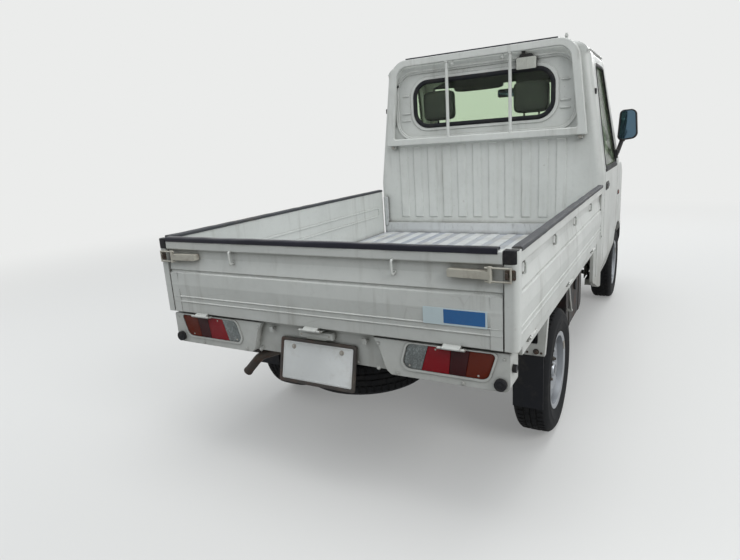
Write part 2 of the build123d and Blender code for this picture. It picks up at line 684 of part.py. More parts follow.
# Rear panel under the tailgate: two lamp housings and a set-back middle
PANEL_FACE = 1670.0
PANEL_DEPTH = 90.0
WING = (
    # |x|, z, rounding
    (243.0, 631.0, 0),
    (265.0, 596.0, 50),
    (288.0, 520.0, 25),
    (306.0, 505.0, 10),
    (709.0, 505.0, 22),
    (709.0, 631.0, 8),
)
LAMP = ((372.0, 626.0, 25), (345.0, 537.0, 25), (640.0, 537.0, 30), (668.0, 626.0, 12))
LAMP_RIM = ((364.0, 630.0, 28), (335.0, 529.0, 30), (645.0, 529.0, 34), (677.0, 630.0, 14))
LAMP_POCKET = 12.0
PANEL_HOOKS_X = (-203.0, 203.0)
with BuildPart() as rear_panel:
    for side, sign in SIDES:
        wing = [(sign * x, z, rounding) for x, z, rounding in WING]
        lamp = [(sign * x, z, rounding) for x, z, rounding in LAMP]
        rim = [(sign * x, z, rounding) for x, z, rounding in LAMP_RIM]
        rear_slab(wing, PANEL_FACE - PANEL_DEPTH, PANEL_FACE)
        block(sign * 320, sign * 699, PANEL_FACE - PANEL_DEPTH - 5, PANEL_FACE - 40, 515, 621,
              mode=Mode.SUBTRACT)
        rear_slab(rim, PANEL_FACE - 1, PANEL_FACE + 3)
        rear_slab(lamp, PANEL_FACE - LAMP_POCKET, PANEL_FACE + 5, mode=Mode.SUBTRACT)
    block(-316, 316, 1630, 1642, 508, 631)
    block(-688, 688, 1595, 1646, 621, FLOOR_UNDER)
    for x in PANEL_HOOKS_X:
        block(x - 8, x + 8, 1640, 1664, 604, 609)
        block(x - 8, x + 8, 1660, 1664, 596, 618)
    for x in TAIL_HINGES_X:
        for reach in (-1, 1):
            start = x + reach * KNUCKLE_INNER
            end = x + reach * KNUCKLE_OUTER
            rod((start, TAIL_HINGE_Y, HINGE_Z), (end, TAIL_HINGE_Y, HINGE_Z), HINGE_RADIUS)
            side_slab(((1640, 627.5), (1674, 627.5), (TAIL_HINGE_Y, HINGE_Z - 4.5), (TAIL_HINGE_Y, HINGE_Z),
                       (1665, 632), (1640, 632)), start, end)
export("rear_panel", rear_panel)

with BuildPart() as tail_lamps:
    for side, sign in SIDES:
        lamp = [(sign * x, z, rounding) for x, z, rounding in LAMP]
        rear_slab(lamp, PANEL_FACE - LAMP_POCKET, PANEL_FACE + 2)
export("tail_lamps", tail_lamps)

with BuildPart() as stoppers:
    for side, sign in SIDES:
        rod((sign * 681, PANEL_FACE, 531), (sign * 681, PANEL_FACE + 15, 531), 19)
        rod((sign * 709, 1640, 575), (sign * 721, 1640, 575), 13)
export("stoppers", stoppers)

# Blank plate in a dark frame under the tailgate, its top leaning forwards, and the lamp above it
PLATE_TILT = 14.0
PLATE_HALF_THICK = 3.0
with BuildPart() as number_plate:
    plate_plane = Plane(
        origin=(0, 1669, 499),
        x_dir=(-1, 0, 0),
        z_dir=(0, cos(radians(PLATE_TILT)), sin(radians(PLATE_TILT))),
    )
    with BuildSketch(plate_plane) as plate_outline:
        RectangleRounded(330, 168, 10)
    extrude(to_extrude=plate_outline.sketch, amount=PLATE_HALF_THICK, both=True)
    with BuildSketch(plate_plane.offset(PLATE_HALF_THICK)) as plate_field:
        RectangleRounded(308, 146, 6)
    extrude(to_extrude=plate_field.sketch, amount=-1.5, mode=Mode.SUBTRACT)
    block(-60, 60, 1642, 1651, 555, 578)
export("number_plate", number_plate)
with BuildPart() as plate_lamp:
    block(-75, 70, 1642, 1668, 594, 621)
    fillet(plate_lamp.faces().sort_by(Axis.Y)[-1].edges(), 5)
export("plate_lamp", plate_lamp)

# Work lamp on the cab's back wall
with BuildPart() as work_lamp:
    rear_slab(((-229, 1621, 14), (-352, 1621, 14), (-352, 1714, 14), (-229, 1714, 14)), -276, -262)
    block(-300, -280, CAB_BACK - RECESS_DEPTH, -276, 1672, 1686)
export("work_lamp", work_lamp)

# Gates: one section run along each, with a top rail, a crease, a groove and two thin ridges
GATE_SECTION = (
    # how far out from the inner face, z
    (0.0, GATE_BOTTOM),
    (0.0, GATE_TOP),
    (GATE_DEPTH - 4, GATE_TOP),
    (GATE_DEPTH, GATE_TOP - 4),
    (GATE_DEPTH, 907.0),
    (25.5, 904.0),
    (14.0, 900.0),
    (13.0, 868.0),
    (22.5, 821.0),
    (18.5, 817.0),
    (18.5, 812.0),
    (24.0, 806.0),
    (27.0, 757.0),
    (24.5, 711.0),
    (GATE_DEPTH, 707.0),
    (24.5, 703.0),
    (24.5, 690.0),
    (GATE_DEPTH, 686.0),
    (24.5, 682.0),
    (24.5, GATE_BOTTOM),
)
POST_FRONT = 1640.0
POST_PLAN = (
    # x, y, rounding
    (TAILGATE_HALF + 5, POST_FRONT, 0),
    (GATE_OUTER, POST_FRONT, 0),
    (GATE_OUTER, TAILGATE_FACE, 16),
    (TAILGATE_HALF + 5, TAILGATE_FACE, 0),
)
SIDE_HOOKS_Y = (1598.0, 1129.0, 677.0, 203.0)
TAIL_HOOKS_X = (346.0, -338.0)
with BuildPart() as gate_left:
    rear_slab([(GATE_INNER + u, z) for u, z in GATE_SECTION], GATE_FRONT, POST_FRONT + 10)
    plan_slab(POST_PLAN, GATE_BOTTOM, GATE_TOP)
    block(GATE_INNER, GATE_OUTER - 1, GATE_FRONT, GATE_FRONT + 30, GATE_BOTTOM, GATE_TOP)
    for y in SIDE_HOOKS_Y:
        tube_along(((718, y - 13, 897), (733, y - 13, 897), (733, y - 13, 862), (718, y - 13, 862)), 4, 6)
    for y in SIDE_HINGES_Y:
        leaf = ((718, 643), (731.5, 643), (SIDE_HINGE_X + 2.5, HINGE_Z), (SIDE_HINGE_X - 4, HINGE_Z))
        rear_slab(leaf, y - HINGE_LEAF, y + HINGE_LEAF)
        rod((SIDE_HINGE_X, y - HINGE_LEAF, HINGE_Z), (SIDE_HINGE_X, y + HINGE_LEAF, HINGE_Z), HINGE_RADIUS)
export("gate_left", gate_left)
with BuildPart() as gate_right:
    mirror(gate_left.part, about=Plane.YZ)
export("gate_right", gate_right)

with BuildPart() as tailgate:
    side_slab([(TAILGATE_INNER + u, z) for u, z in GATE_SECTION], -TAILGATE_HALF, TAILGATE_HALF)
    for side, sign in SIDES:
        block(sign * 652, sign * TAILGATE_HALF, TAILGATE_INNER, TAILGATE_FACE - 1, GATE_BOTTOM, 806)
    for x in TAIL_HOOKS_X:
        tube_along(((x, 1665, 905), (x, 1690, 905), (x, 1690, 858), (x, 1665, 858)), 4, 6)
    for x in TAIL_HINGES_X:
        side_slab(((1668, 643), (1677.5, 643), (TAIL_HINGE_Y, HINGE_Z + 4.5), (TAIL_HINGE_Y, HINGE_Z),
                   (1668, 637)), x - HINGE_LEAF, x + HINGE_LEAF)
        rod((x - HINGE_LEAF, TAIL_HINGE_Y, HINGE_Z), (x + HINGE_LEAF, TAIL_HINGE_Y, HINGE_Z), HINGE_RADIUS)
export("tailgate", tailgate)

with BuildPart() as latches:
    for side, sign in SIDES:
        body = [(sign * x, z, 4) for x, z in ((525, 864), (652, 862), (652, 886), (525, 888))]
        rear_slab(body, 1668, 1694)
        for z in (856, 896):
            rod((sign * 640, 1690, z), (sign * 716, 1690, z), 3)
        rod((sign * 716, 1690, 853), (sign * 716, 1690, 899), 3)
        rod((sign * 655, 1688, 852), (sign * 655, 1688, 900), 7)
        block(sign * 640, sign * 654, 1680, 1692, 866, 884)
export("latches", latches)

# Chassis: two rails with a kick up behind the cab, and cross members
with BuildPart() as chassis_frame:
    for side, sign in SIDES:
        side_slab(((-1570, CAB_RAIL_TOP), (-230, CAB_RAIL_TOP), (-60, RAIL_TOP), (1578, RAIL_TOP),
                   (1578, RAIL_BOTTOM), (0, RAIL_BOTTOM), (-190, CAB_RAIL_BOTTOM), (-1570, CAB_RAIL_BOTTOM)),
                  sign * RAIL_INNER, sign * RAIL_OUTER)
        for y in (-1400, -900, -420):
            rod((sign * 372, y, CAB_RAIL_TOP), (sign * 372, y, 412), 18)
    for y, z0, z1 in ((-1540, 330, 395), (330, 470, 535), (640, 470, 535), (1480, 500, 540)):
        block(-RAIL_INNER, RAIL_INNER, y - 22, y + 22, z0, z1)
export("chassis_frame", chassis_frame)

# Front suspension: cross member and lower arms
with BuildPart() as front_suspension:
    rear_slab(((-395, 318), (-330, 205), (330, 205), (395, 318)), FRONT_AXLE_Y - 45, FRONT_AXLE_Y + 45)
    for side, sign in SIDES:
        rod((sign * 320, FRONT_AXLE_Y, 225), (sign * 590, FRONT_AXLE_Y, 152), 16)
        rod((sign * 590, FRONT_AXLE_Y, 138), (sign * 590, FRONT_AXLE_Y, 178), 19)
export("front_suspension", front_suspension)

# Knuckles: upright, strut on the steering axis, and the stub that carries the wheel
for side, sign in SIDES:
    with BuildPart() as knuckle:
        rod((sign * strut_x(186), FRONT_AXLE_Y, 186), (sign * strut_x(430), FRONT_AXLE_Y, 430), 22)
        rod((sign * strut_x(400), FRONT_AXLE_Y, 400), (sign * strut_x(576), FRONT_AXLE_Y, 576), 14)
        rod((sign * strut_x(470), FRONT_AXLE_Y, 470), (sign * strut_x(482), FRONT_AXLE_Y, 482), 26)
        rod((sign * strut_x(AXLE_Z), FRONT_AXLE_Y, AXLE_Z), (sign * 668, FRONT_AXLE_Y, AXLE_Z), 85)
        rod((sign * 660, FRONT_AXLE_Y, AXLE_Z), (sign * 682, FRONT_AXLE_Y, AXLE_Z), 25.5)
    export(f"knuckle_{side}", knuckle)

# Rear suspension: live axle with differential, drums, leaf springs and shackles
SPRING_FRONT = REAR_AXLE_Y - 450
SPRING_REAR = REAR_AXLE_Y + 450
with BuildPart() as rear_suspension:
    rod((-620, REAR_AXLE_Y, AXLE_Z), (620, REAR_AXLE_Y, AXLE_Z), 34)
    with Locations((0, REAR_AXLE_Y, AXLE_Z)):
        Sphere(112)
    rod((0, REAR_AXLE_Y - 105, AXLE_Z + 8), (0, REAR_AXLE_Y - 190, AXLE_Z + 16), 42)
    for side, sign in SIDES:
        rod((sign * 592, REAR_AXLE_Y, AXLE_Z), (sign * 662, REAR_AXLE_Y, AXLE_Z), 100)
        rod((sign * 650, REAR_AXLE_Y, AXLE_Z), (sign * 677, REAR_AXLE_Y, AXLE_Z), 25.5)
        with BuildSketch(Plane.YZ.offset(sign * 372.5 - 25)) as spring:
            with BuildLine():
                ThreePointArc((SPRING_FRONT, 402), (REAR_AXLE_Y, 328), (SPRING_REAR, 402))
                Line((SPRING_REAR, 402), (SPRING_REAR, 390))
                ThreePointArc((SPRING_REAR, 390), (REAR_AXLE_Y, 298), (SPRING_FRONT, 390))
                Line((SPRING_FRONT, 390), (SPRING_FRONT, 402))
            make_face()
        extrude(to_extrude=spring.sketch, amount=50)
        block(sign * 345, sign * 400, REAR_AXLE_Y - 45, REAR_AXLE_Y + 45, 296, 340)
        block(sign * 348, sign * 397, SPRING_FRONT - 20, SPRING_FRONT + 20, 385, RAIL_BOTTOM)
        block(sign * 348, sign * 397, SPRING_REAR - 15, SPRING_REAR + 15, 385, RAIL_BOTTOM)
export("rear_suspension", rear_suspension)

# Power unit under the seats, and the shaft to the rear axle
with BuildPart() as engine_block:
    block(-210, 210, -815, -350, 265, 640)
    rod((0, -350, 370), (0, -20, 350), 62)
    block(-RAIL_INNER, RAIL_INNER, -600, -560, 330, 380)
    block(-RAIL_INNER, RAIL_INNER, -120, -90, 400, 425)
export("engine_block", engine_block)
with BuildPart() as propeller_shaft:
    rod((0, -18, 350), (0, REAR_AXLE_Y - 192, AXLE_Z + 16), 28)
export("propeller_shaft", propeller_shaft)

# Exhaust: silencer under the bed, pipe over the axle and out on the left
with BuildPart() as exhaust:
    side_slab(((300, 310, 30), (300, 430, 30), (690, 430, 30), (690, 310, 30)), 120, 270)
    tail_pipe = ((190, 690, 375), (200, 780, 432), (270, 1150, 436), (318, 1440, 437), (424, 1496, 406),
                 (501, 1500, 326))
    tube_along(tail_pipe, 19, 80)
    tube_along(((195, -340, 300), (195, -120, 300), (195, 100, 360), (195, 300, 365)), 19, 60)
    block(150, 240, 440, 480, 430, 470)
    block(240, RAIL_INNER, 560, 582, 425, 480)
export("exhaust", exhaust)

with BuildPart() as fuel_tank:
    side_slab(((100, 330, 40), (560, 330, 40), (560, RAIL_TOP, 30), (100, RAIL_TOP, 30)), -425, -680)
export("fuel_tank", fuel_tank)


# Wheels: tyre and rim of revolved sections; local x runs outward along the axle
TYRE_SECTION = (
    # across, radius
    (-54.0, RIM_SEAT),
    (-57.0, 168.0),
    (-TYRE_HALF, 212.0),
    (-68.0, 240.0),
    (-56.0, 263.0),
    (-46.0, TYRE_RADIUS),
    (46.0, TYRE_RADIUS),
    (56.0, 263.0),
    (68.0, 240.0),
    (TYRE_HALF, 212.0),
    (57.0, 168.0),
    (54.0, RIM_SEAT),
)
RIM_SECTION = (
    (-63.0, 167.0),
    (-58.0, 167.0),
    (-55.0, RIM_SEAT),
    (-30.0, RIM_SEAT - 1),
    (-20.0, 140.0),
    (12.0, 140.0),
    (26.0, RIM_SEAT - 1),
    (55.0, RIM_SEAT),
    (58.0, 167.0),
    (63.0, 167.0),
    (59.0, 148.0),
    (32.0, 146.0),
    (22.0, 132.0),
    (40.0, 96.0),
    (44.0, 82.0),
    (30.0, 66.0),
    (30.0, 26.0),
    (23.0, 26.0),
    (23.0, 70.0),
    (36.0, 84.0),
    (32.0, 96.0),
    (14.0, 133.0),
    (-22.0, 133.0),
    (-32.0, 145.0),
    (-60.0, 147.0),
)
VENTS = 12


def wheel_section(corners, x, y):
    """Revolve a wheel section about its axle line, on the wheel's own side."""
    sign = 1 if x > 0 else -1
    with BuildSketch(Plane.XZ.offset(-y)) as section:
        with BuildLine():
            Polyline(*[(x + sign * across, AXLE_Z + radius) for across, radius in corners], close=True)
        make_face()
    revolve(section.sketch, axis=Axis((x, y, AXLE_Z), (1, 0, 0)))


for name, x, y in WHEELS:
    sign = 1 if x > 0 else -1
    with BuildPart() as tyre:
        wheel_section(TYRE_SECTION, x, y)
    export(f"tyre_{name}", tyre)
    with BuildPart() as rim:
        wheel_section(RIM_SECTION, x, y)
        for i in range(VENTS):
            turn = radians(360 / VENTS * i)
            vy = y + 112 * cos(turn)
            vz = AXLE_Z + 112 * sin(turn)
            rod((x, vy, vz), (x + sign * 60, vy, vz), 11, mode=Mode.SUBTRACT)
    export(f"rim_{name}", rim)

# Spare wheel, lying under the rear of the bed between the rails
with BuildPart() as spare_wheel:
    with BuildSketch(Plane.XZ.offset(-1310)) as spare_section:
        with BuildLine():
            Polyline(*[(radius, 400 + across) for across, radius in TYRE_SECTION], close=True)
        make_face()
    revolve(spare_section.sketch, axis=Axis((0, 1310, 400), (0, 0, 1)))
    rod((0, 1310, 395), (0, 1310, 410), RIM_SEAT)
    rod((0, 1310, 400), (0, 1310, 500), 10)
    block(-RAIL_INNER, RAIL_INNER, 1290, 1330, 500, 530)
export("spare_wheel", spare_wheel)
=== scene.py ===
"""The looks of the kei truck: camera, light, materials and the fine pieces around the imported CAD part.

Shapes are written in millimetres in the row frame: the truck faces -Y, its left side is at +X and
z = 0 is the ground.
"""

import json
import math

import bmesh
import bpy
from mathutils import Matrix, Vector, noise
from mathutils.bvhtree import BVHTree


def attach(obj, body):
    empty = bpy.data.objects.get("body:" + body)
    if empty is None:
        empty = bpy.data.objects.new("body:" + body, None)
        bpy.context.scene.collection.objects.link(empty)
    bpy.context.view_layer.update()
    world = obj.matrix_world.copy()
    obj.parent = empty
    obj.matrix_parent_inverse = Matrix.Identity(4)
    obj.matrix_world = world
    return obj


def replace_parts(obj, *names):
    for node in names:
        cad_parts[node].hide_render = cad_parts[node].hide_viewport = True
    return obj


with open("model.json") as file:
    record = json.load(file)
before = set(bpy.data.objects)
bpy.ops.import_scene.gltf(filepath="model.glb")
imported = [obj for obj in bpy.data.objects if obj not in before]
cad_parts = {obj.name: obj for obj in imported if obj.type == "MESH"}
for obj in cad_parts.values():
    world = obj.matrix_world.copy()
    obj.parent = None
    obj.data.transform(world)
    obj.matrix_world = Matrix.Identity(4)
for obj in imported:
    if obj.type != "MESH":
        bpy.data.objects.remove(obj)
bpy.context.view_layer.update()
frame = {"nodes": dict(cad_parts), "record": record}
scene = bpy.context.scene
SIDES = (("left", 1), ("right", -1))
MM = 0.001

# Camera
CAMERA_PLACE = (-1.113, 3.181, 1.2585)
CAMERA_TURN = (29.823, -13.813, -3.805)  # yaw, pitch and roll in degrees
CAMERA_LENS = 26.52


def make_camera():
    """Stands where the photograph was taken from: behind the tail's right corner, looking a little down."""
    yaw, pitch, roll = (math.radians(angle) for angle in CAMERA_TURN)
    ahead = Vector((math.sin(yaw) * math.cos(pitch), -math.cos(yaw) * math.cos(pitch), math.sin(pitch)))
    side = Vector((-math.cos(yaw), -math.sin(yaw), 0))
    above = side.cross(ahead)
    right = side * math.cos(roll) + above * math.sin(roll)
    up = above * math.cos(roll) - side * math.sin(roll)
    data = bpy.data.cameras.new("camera")
    data.sensor_width = 36
    data.lens = CAMERA_LENS
    data.clip_start = 0.05
    data.clip_end = 100
    camera = bpy.data.objects.new("camera", data)
    scene.collection.objects.link(camera)
    axes = Matrix((right, up, -ahead)).transposed().to_4x4()
    camera.matrix_world = Matrix.Translation(CAMERA_PLACE) @ axes
    scene.camera = camera


make_camera()
scene.view_settings.view_transform = "Standard"


# Shader helpers
def rgb(r, g, b):
    """A colour as it looks on screen (0 to 255), for a shader."""

    def lin(c):
        c = max(0, c) / 255
        return c / 12.92 if c <= 0.04045 else ((c + 0.055) / 1.055) ** 2.4

    return (lin(r), lin(g), lin(b), 1.0)


def tint(tone, share=1, lift=0):
    """A darker or lighter relative of a tone."""
    return tuple(min(255, c * share + lift) for c in tone)


class Nodes:
    """Short calls for building the node tree of a material or of the world."""

    def __init__(self, owner, place="Object"):
        owner.use_nodes = True
        self.owner = owner
        self.tree = owner.node_tree
        self.place = self.new("TexCoord").outputs[place]

    def new(self, kind, **sets):
        node = self.tree.nodes.new("ShaderNode" + kind)
        for key, value in sets.items():
            setattr(node, key, value)
        return node

    def put(self, socket, value):
        """Links a socket or sets its value; a colour is given as it looks on screen."""
        if isinstance(value, bpy.types.NodeSocket):
            self.tree.links.new(value, socket)
        else:
            socket.default_value = rgb(*value) if socket.type == "RGBA" else value

    def get(self, kind, inputs, output=0, **sets):
        """One output of a new node with the given inputs."""
        node = self.new(kind, **sets)
        for key, value in inputs.items():
            self.put(node.inputs[key], value)
        return node.outputs[output]

    def scaled(self, stretch):
        if stretch is None:
            return self.place
        return self.get("Mapping", {"Vector": self.place, "Scale": stretch})

    def noise(self, scale, detail=3.0, rough=0.55, stretch=None):
        inputs = {"Vector": self.scaled(stretch), "Scale": scale, "Detail": detail, "Roughness": rough}
        return self.get("TexNoise", inputs, "Fac")

    def voronoi(self, scale, feature="F1", stretch=None):
        inputs = {"Vector": self.scaled(stretch), "Scale": scale}
        return self.get("TexVoronoi", inputs, "Distance", feature=feature)

    def stripes(self, scale, axis="X"):
        return self.get("TexWave", {"Vector": self.place, "Scale": scale, "Distortion": 0.0}, "Fac",
                        bands_direction=axis)

    def ramp(self, value, low, high, to_low=0.0, to_high=1.0):
        """to_low below low, to_high above high; high may be under low."""
        inputs = {"Value": value, "From Min": low, "From Max": high, "To Min": to_low, "To Max": to_high}
        return self.get("MapRange", inputs, "Result", interpolation_type="SMOOTHSTEP")

    def patches(self, scale, detail, rough, low, high, to_low=0.0, to_high=1.0, stretch=None):
        """Soft-edged patches of noise."""
        return self.ramp(self.noise(scale, detail, rough, stretch), low, high, to_low, to_high)

    def math(self, kind, a, b=0.0):
        return self.get("Math", {0: a, 1: b}, operation=kind)

    def times(self, a, b):
        return self.math("MULTIPLY", a, b)

    def either(self, a, b):
        return self.math("MAXIMUM", a, b)

    def mix(self, share, a, b):
        return self.get("Mix", {"Factor": share, 6: a, 7: b}, 2, data_type="RGBA")

    def along(self, axis):
        """The row frame's coordinate along one axis, in metres."""
        return self.get("SeparateXYZ", {0: self.place}, axis)

    def facing(self, axis):
        """How far the surface faces one axis, -1 to 1."""
        return self.get("SeparateXYZ", {0: self.new("NewGeometry").outputs["Normal"]}, axis)

    def hollows(self, reach):
        """1 in inside corners, 0 on open surfaces."""
        return self.ramp(self.get("AmbientOcclusion", {"Distance": reach}, "AO", samples=4), 0.9, 0.35)

    def edges(self, reach):
        """1 on outside edges and inside corners."""
        turned = self.get("Bevel", {"Radius": reach}, "Normal", samples=3)
        flat = self.new("NewGeometry").outputs["Normal"]
        same = self.get("VectorMath", {0: turned, 1: flat}, "Value", operation="DOT_PRODUCT")
        return self.ramp(same, 0.985, 0.9)

    def soft_edges(self, reach):
        """Normals that turn over outside edges, as on pressed sheet or moulded plastic."""
        return self.get("Bevel", {"Radius": reach}, "Normal", samples=4)

    def bump(self, height, strength, distance=0.001, onto=None):
        inputs = {"Strength": strength, "Distance": distance, "Height": height}
        if onto is not None:
            inputs["Normal"] = onto
        return self.get("Bump", inputs, "Normal")

    def finish(self, colour, rough, normal=None, **plain):
        """Fills the Principled shader; an underscore in a name stands for a space."""
        values = {"Base Color": colour, "Roughness": rough, **plain}
        if normal is not None:
            values["Normal"] = normal
        for key, value in values.items():
            self.put(self.tree.nodes["Principled BSDF"].inputs[key.replace("_", " ")], value)
        return self.owner

    def blend(self, share, a, b, output):
        """Shows two shaders by share, 0 for the first."""
        both = self.get("MixShader", {0: share, 1: a, 2: b})
        self.put(self.tree.nodes[output].inputs["Surface"], both)


# Materials
def paint(n, tone, hollow_grime_and_shade=0.5, scuffs=0.35, rust=0.35, low=0.0, floor=0.0):
    """Aged off-white body paint: grime with painted shade in inside corners, runs, worn edges, scratches and
    rust spots.

    low adds road grime near the ground; floor adds painted shade in the valleys of a load floor, and scrapes
    and dust of a load surface.
    """
    colour = n.mix(n.patches(2.2, 4, 0.6, 0.35, 0.7), tone, tint(tone, 1, -11))
    colour = n.mix(n.patches(38, 3, 0.7, 0.5, 0.75, 0, 0.18), colour, tint(tone, 1, -36))
    runs = n.patches(1.0, 4, 0.7, 0.5, 0.72, stretch=(16, 16, 1.1))
    colour = n.mix(n.times(runs, n.patches(3.1, 3, 0.55, 0.4, 0.65, 0, 0.35)), colour, (120, 117, 106))
    # grime and painted shade: the paint darkens in inside corners found by ambient occlusion
    inside = n.times(n.hollows(0.03), n.patches(9, 4, 0.55, 0.2, 0.6, 0.25, hollow_grime_and_shade * 1.7))
    colour = n.mix(n.math("MINIMUM", inside, 0.88), colour, (78, 74, 66))
    if low:
        splash = n.times(n.ramp(n.along(2), 0.8, 0.25), n.patches(6, 5, 0.65, 0.3, 0.65, 0.1, low))
        colour = n.mix(splash, colour, (112, 104, 90))
    if floor:
        # painted shade: the load floor's valleys between its ribs turn darker and bluer
        painted_valley_shade = n.times(n.ramp(n.along(2), 0.6546, 0.6516), n.patches(2.0, 4, 0.55, 0.25, 0.6, 0.45, 0.95))
        colour = n.mix(painted_valley_shade, colour, (150, 156, 168))
        scrapes = n.patches(1.0, 5, 0.75, 0.54, 0.7, stretch=(60, 2.2, 20))
        scrapes = n.times(scrapes, n.patches(2.4, 3, 0.55, 0.38, 0.62, 0.1, floor))
        colour = n.mix(scrapes, colour, (132, 134, 136))
        dust = n.times(n.ramp(n.facing(2), 0.6, 0.95), n.patches(4.6, 6, 0.7, 0.42, 0.7, 0, floor * 0.8))
        colour = n.mix(dust, colour, (158, 152, 140))
    worn = n.times(n.edges(0.004), n.patches(21, 4, 0.7, 0.46, 0.6, 0, scuffs))
    colour = n.mix(worn, colour, (116, 114, 110))
    lines = n.ramp(n.voronoi(5.0, "DISTANCE_TO_EDGE", (1.0, 3.2, 1.7)), 0.006, 0.0)
    lines = n.times(lines, n.patches(4.3, 3, 0.55, 0.5, 0.6, 0, scuffs * 0.6))
    colour = n.mix(lines, colour, (146, 144, 138))
    spots = n.times(n.patches(46, 2, 0.5, 0.69, 0.75), n.patches(3.7, 2, 0.55, 0.5, 0.68, 0, rust))
    edge_rust = n.times(n.edges(0.005), n.patches(12, 5, 0.75, 0.58, 0.68, 0, rust))
    colour = n.mix(n.either(spots, edge_rust), colour, (104, 66, 42))
    normal = n.bump(n.noise(5.5, 2, 0.5), 0.3, 0.004, n.soft_edges(0.0025))
    normal = n.bump(n.noise(420, 2), 0.06, 0.0005, normal)
    return n.finish(colour, n.patches(6.5, 4, 0.6, 0.3, 0.7, 0.32, 0.55), normal, Specular_IOR_Level=0.45,
                    Coat_Weight=0.15, Coat_Roughness=0.3)


def coated(n, tone, rough, dust=0.35, grain=0.0, grain_scale=900.0, metal=0.0, rust=0.0,
           dusty=(120, 112, 98), soft=0.0015, shine=0.5, wear=60):
    """Plastic, rubber, metal: one tone with patches, dust in hollows and in scattered spots, and a grain."""
    patches = n.noise(4.0, 4, 0.6)
    colour = n.mix(n.ramp(patches, 0.3, 0.7), tone, tint(tone, 1, 14))
    settled = n.either(n.hollows(0.03), n.patches(11, 5, 0.7, 0.5, 0.75))
    colour = n.mix(n.times(settled, dust), colour, dusty)
    if rust:
        spots = n.times(n.patches(14, 5, 0.7, 0.45, 0.66), n.patches(2.6, 3, 0.55, 0.35, 0.6, 0, rust))
        colour = n.mix(spots, colour, (92, 56, 36))
    worn = n.times(n.edges(0.002), n.patches(30, 3, 0.7, 0.45, 0.6, 0, 0.35))
    colour = n.mix(worn, colour, tint(tone, 1, wear))
    spread = n.ramp(patches, 0.2, 0.8, max(0.05, rough - 0.1), min(1.0, rough + 0.14))
    normal = n.bump(n.noise(grain_scale, 2), 0.1 + grain, 0.0006, n.soft_edges(soft))
    return n.finish(colour, spread, normal, Metallic=metal, Specular_IOR_Level=shine)


def glass(n, tone, rough, alpha):
    """Tinted glass with a thin film of dust. It hardly bends what is behind it, and its coat mirrors."""
    dust = n.times(n.patches(7, 5, 0.7, 0.42, 0.8), 0.07)
    colour = n.mix(dust, tone, (206, 208, 200))
    return n.finish(colour, n.ramp(dust, 0.0, 0.3, rough, 0.3), IOR=1.01, Transmission_Weight=1.0,
                    Alpha=alpha, Coat_Weight=0.45, Coat_Roughness=0.02, Coat_IOR=1.5)


def lens(n, tone):
    """Moulded lamp lens: coloured plastic with fine upright flutes and a little haze."""
    flutes = n.stripes(240.0)
    colour = n.mix(n.ramp(flutes, 0.1, 0.9), tint(tone, 0.72), tone)
    colour = n.mix(n.patches(30, 4, 0.7, 0.5, 0.8, 0, 0.2), colour, tint(tone, 0.7, 16))
    normal = n.bump(flutes, 0.5, 0.0015, n.soft_edges(0.002))
    return n.finish(colour, 0.2, normal, IOR=1.49, Specular_IOR_Level=0.18)


def crystal(n, tone):
    """Clear moulded lens over a reflector: many small facets that break up what is behind it, and dark
    grey-green patches that are painted reflection of dark surroundings.
    """
    facets = n.voronoi(190.0)
    colour = n.mix(n.ramp(facets, 0.1, 0.7), tone, tint(tone, 1, -50))
    # painted reflection: dark grey-green patches stand for dark surroundings mirrored in the clear lens
    colour = n.mix(n.patches(24, 4, 0.7, 0.42, 0.62, 0, 0.75), colour, (58, 66, 66))
    normal = n.bump(facets, 0.6, 0.0015, n.soft_edges(0.002))
    return n.finish(colour, 0.12, normal, Metallic=0.35, Coat_Weight=0.8, Coat_Roughness=0.05)


def vinyl(n, tone):
    """Seat vinyl with leather grain, lighter worn crowns and painted shade that darkens its folds."""
    colour = n.mix(n.patches(5, 4, 0.55, 0.3, 0.7), tone, tint(tone, 1, 12))
    # painted shade: the vinyl turns half as bright in folds and seams found by ambient occlusion
    colour = n.mix(n.times(n.hollows(0.05), 0.6), colour, tint(tone, 0.5))
    colour = n.mix(n.patches(13, 5, 0.7, 0.52, 0.78, 0, 0.25), colour, (128, 122, 112))
    normal = n.bump(n.ramp(n.voronoi(430.0, "DISTANCE_TO_EDGE"), 0.0, 0.12), 0.2, 0.0006)
    normal = n.bump(n.noise(24, 4, 0.6), 0.35, 0.002, normal)
    return n.finish(colour, n.patches(8, 3, 0.55, 0.3, 0.7, 0.42, 0.62), normal)


def mirror_face(n, tone):
    """Mirror glass with a bluish cast and dust; its dark tone is painted reflection of dark surroundings."""
    colour = n.mix(n.patches(16, 5, 0.7, 0.45, 0.8, 0, 0.3), tone, (120, 122, 118))
    return n.finish(colour, n.patches(9, 4, 0.55, 0.3, 0.8, 0.03, 0.14), Metallic=1.0)


def striped_webbing(n, tone):
    """Belt webbing: narrow ribs along the strap."""
    weave = n.stripes(900.0, "DIAGONAL")
    return n.finish(n.mix(weave, tone, tint(tone, 0.7)), 0.7, n.bump(weave, 0.4, 0.0005), Sheen_Weight=0.3)


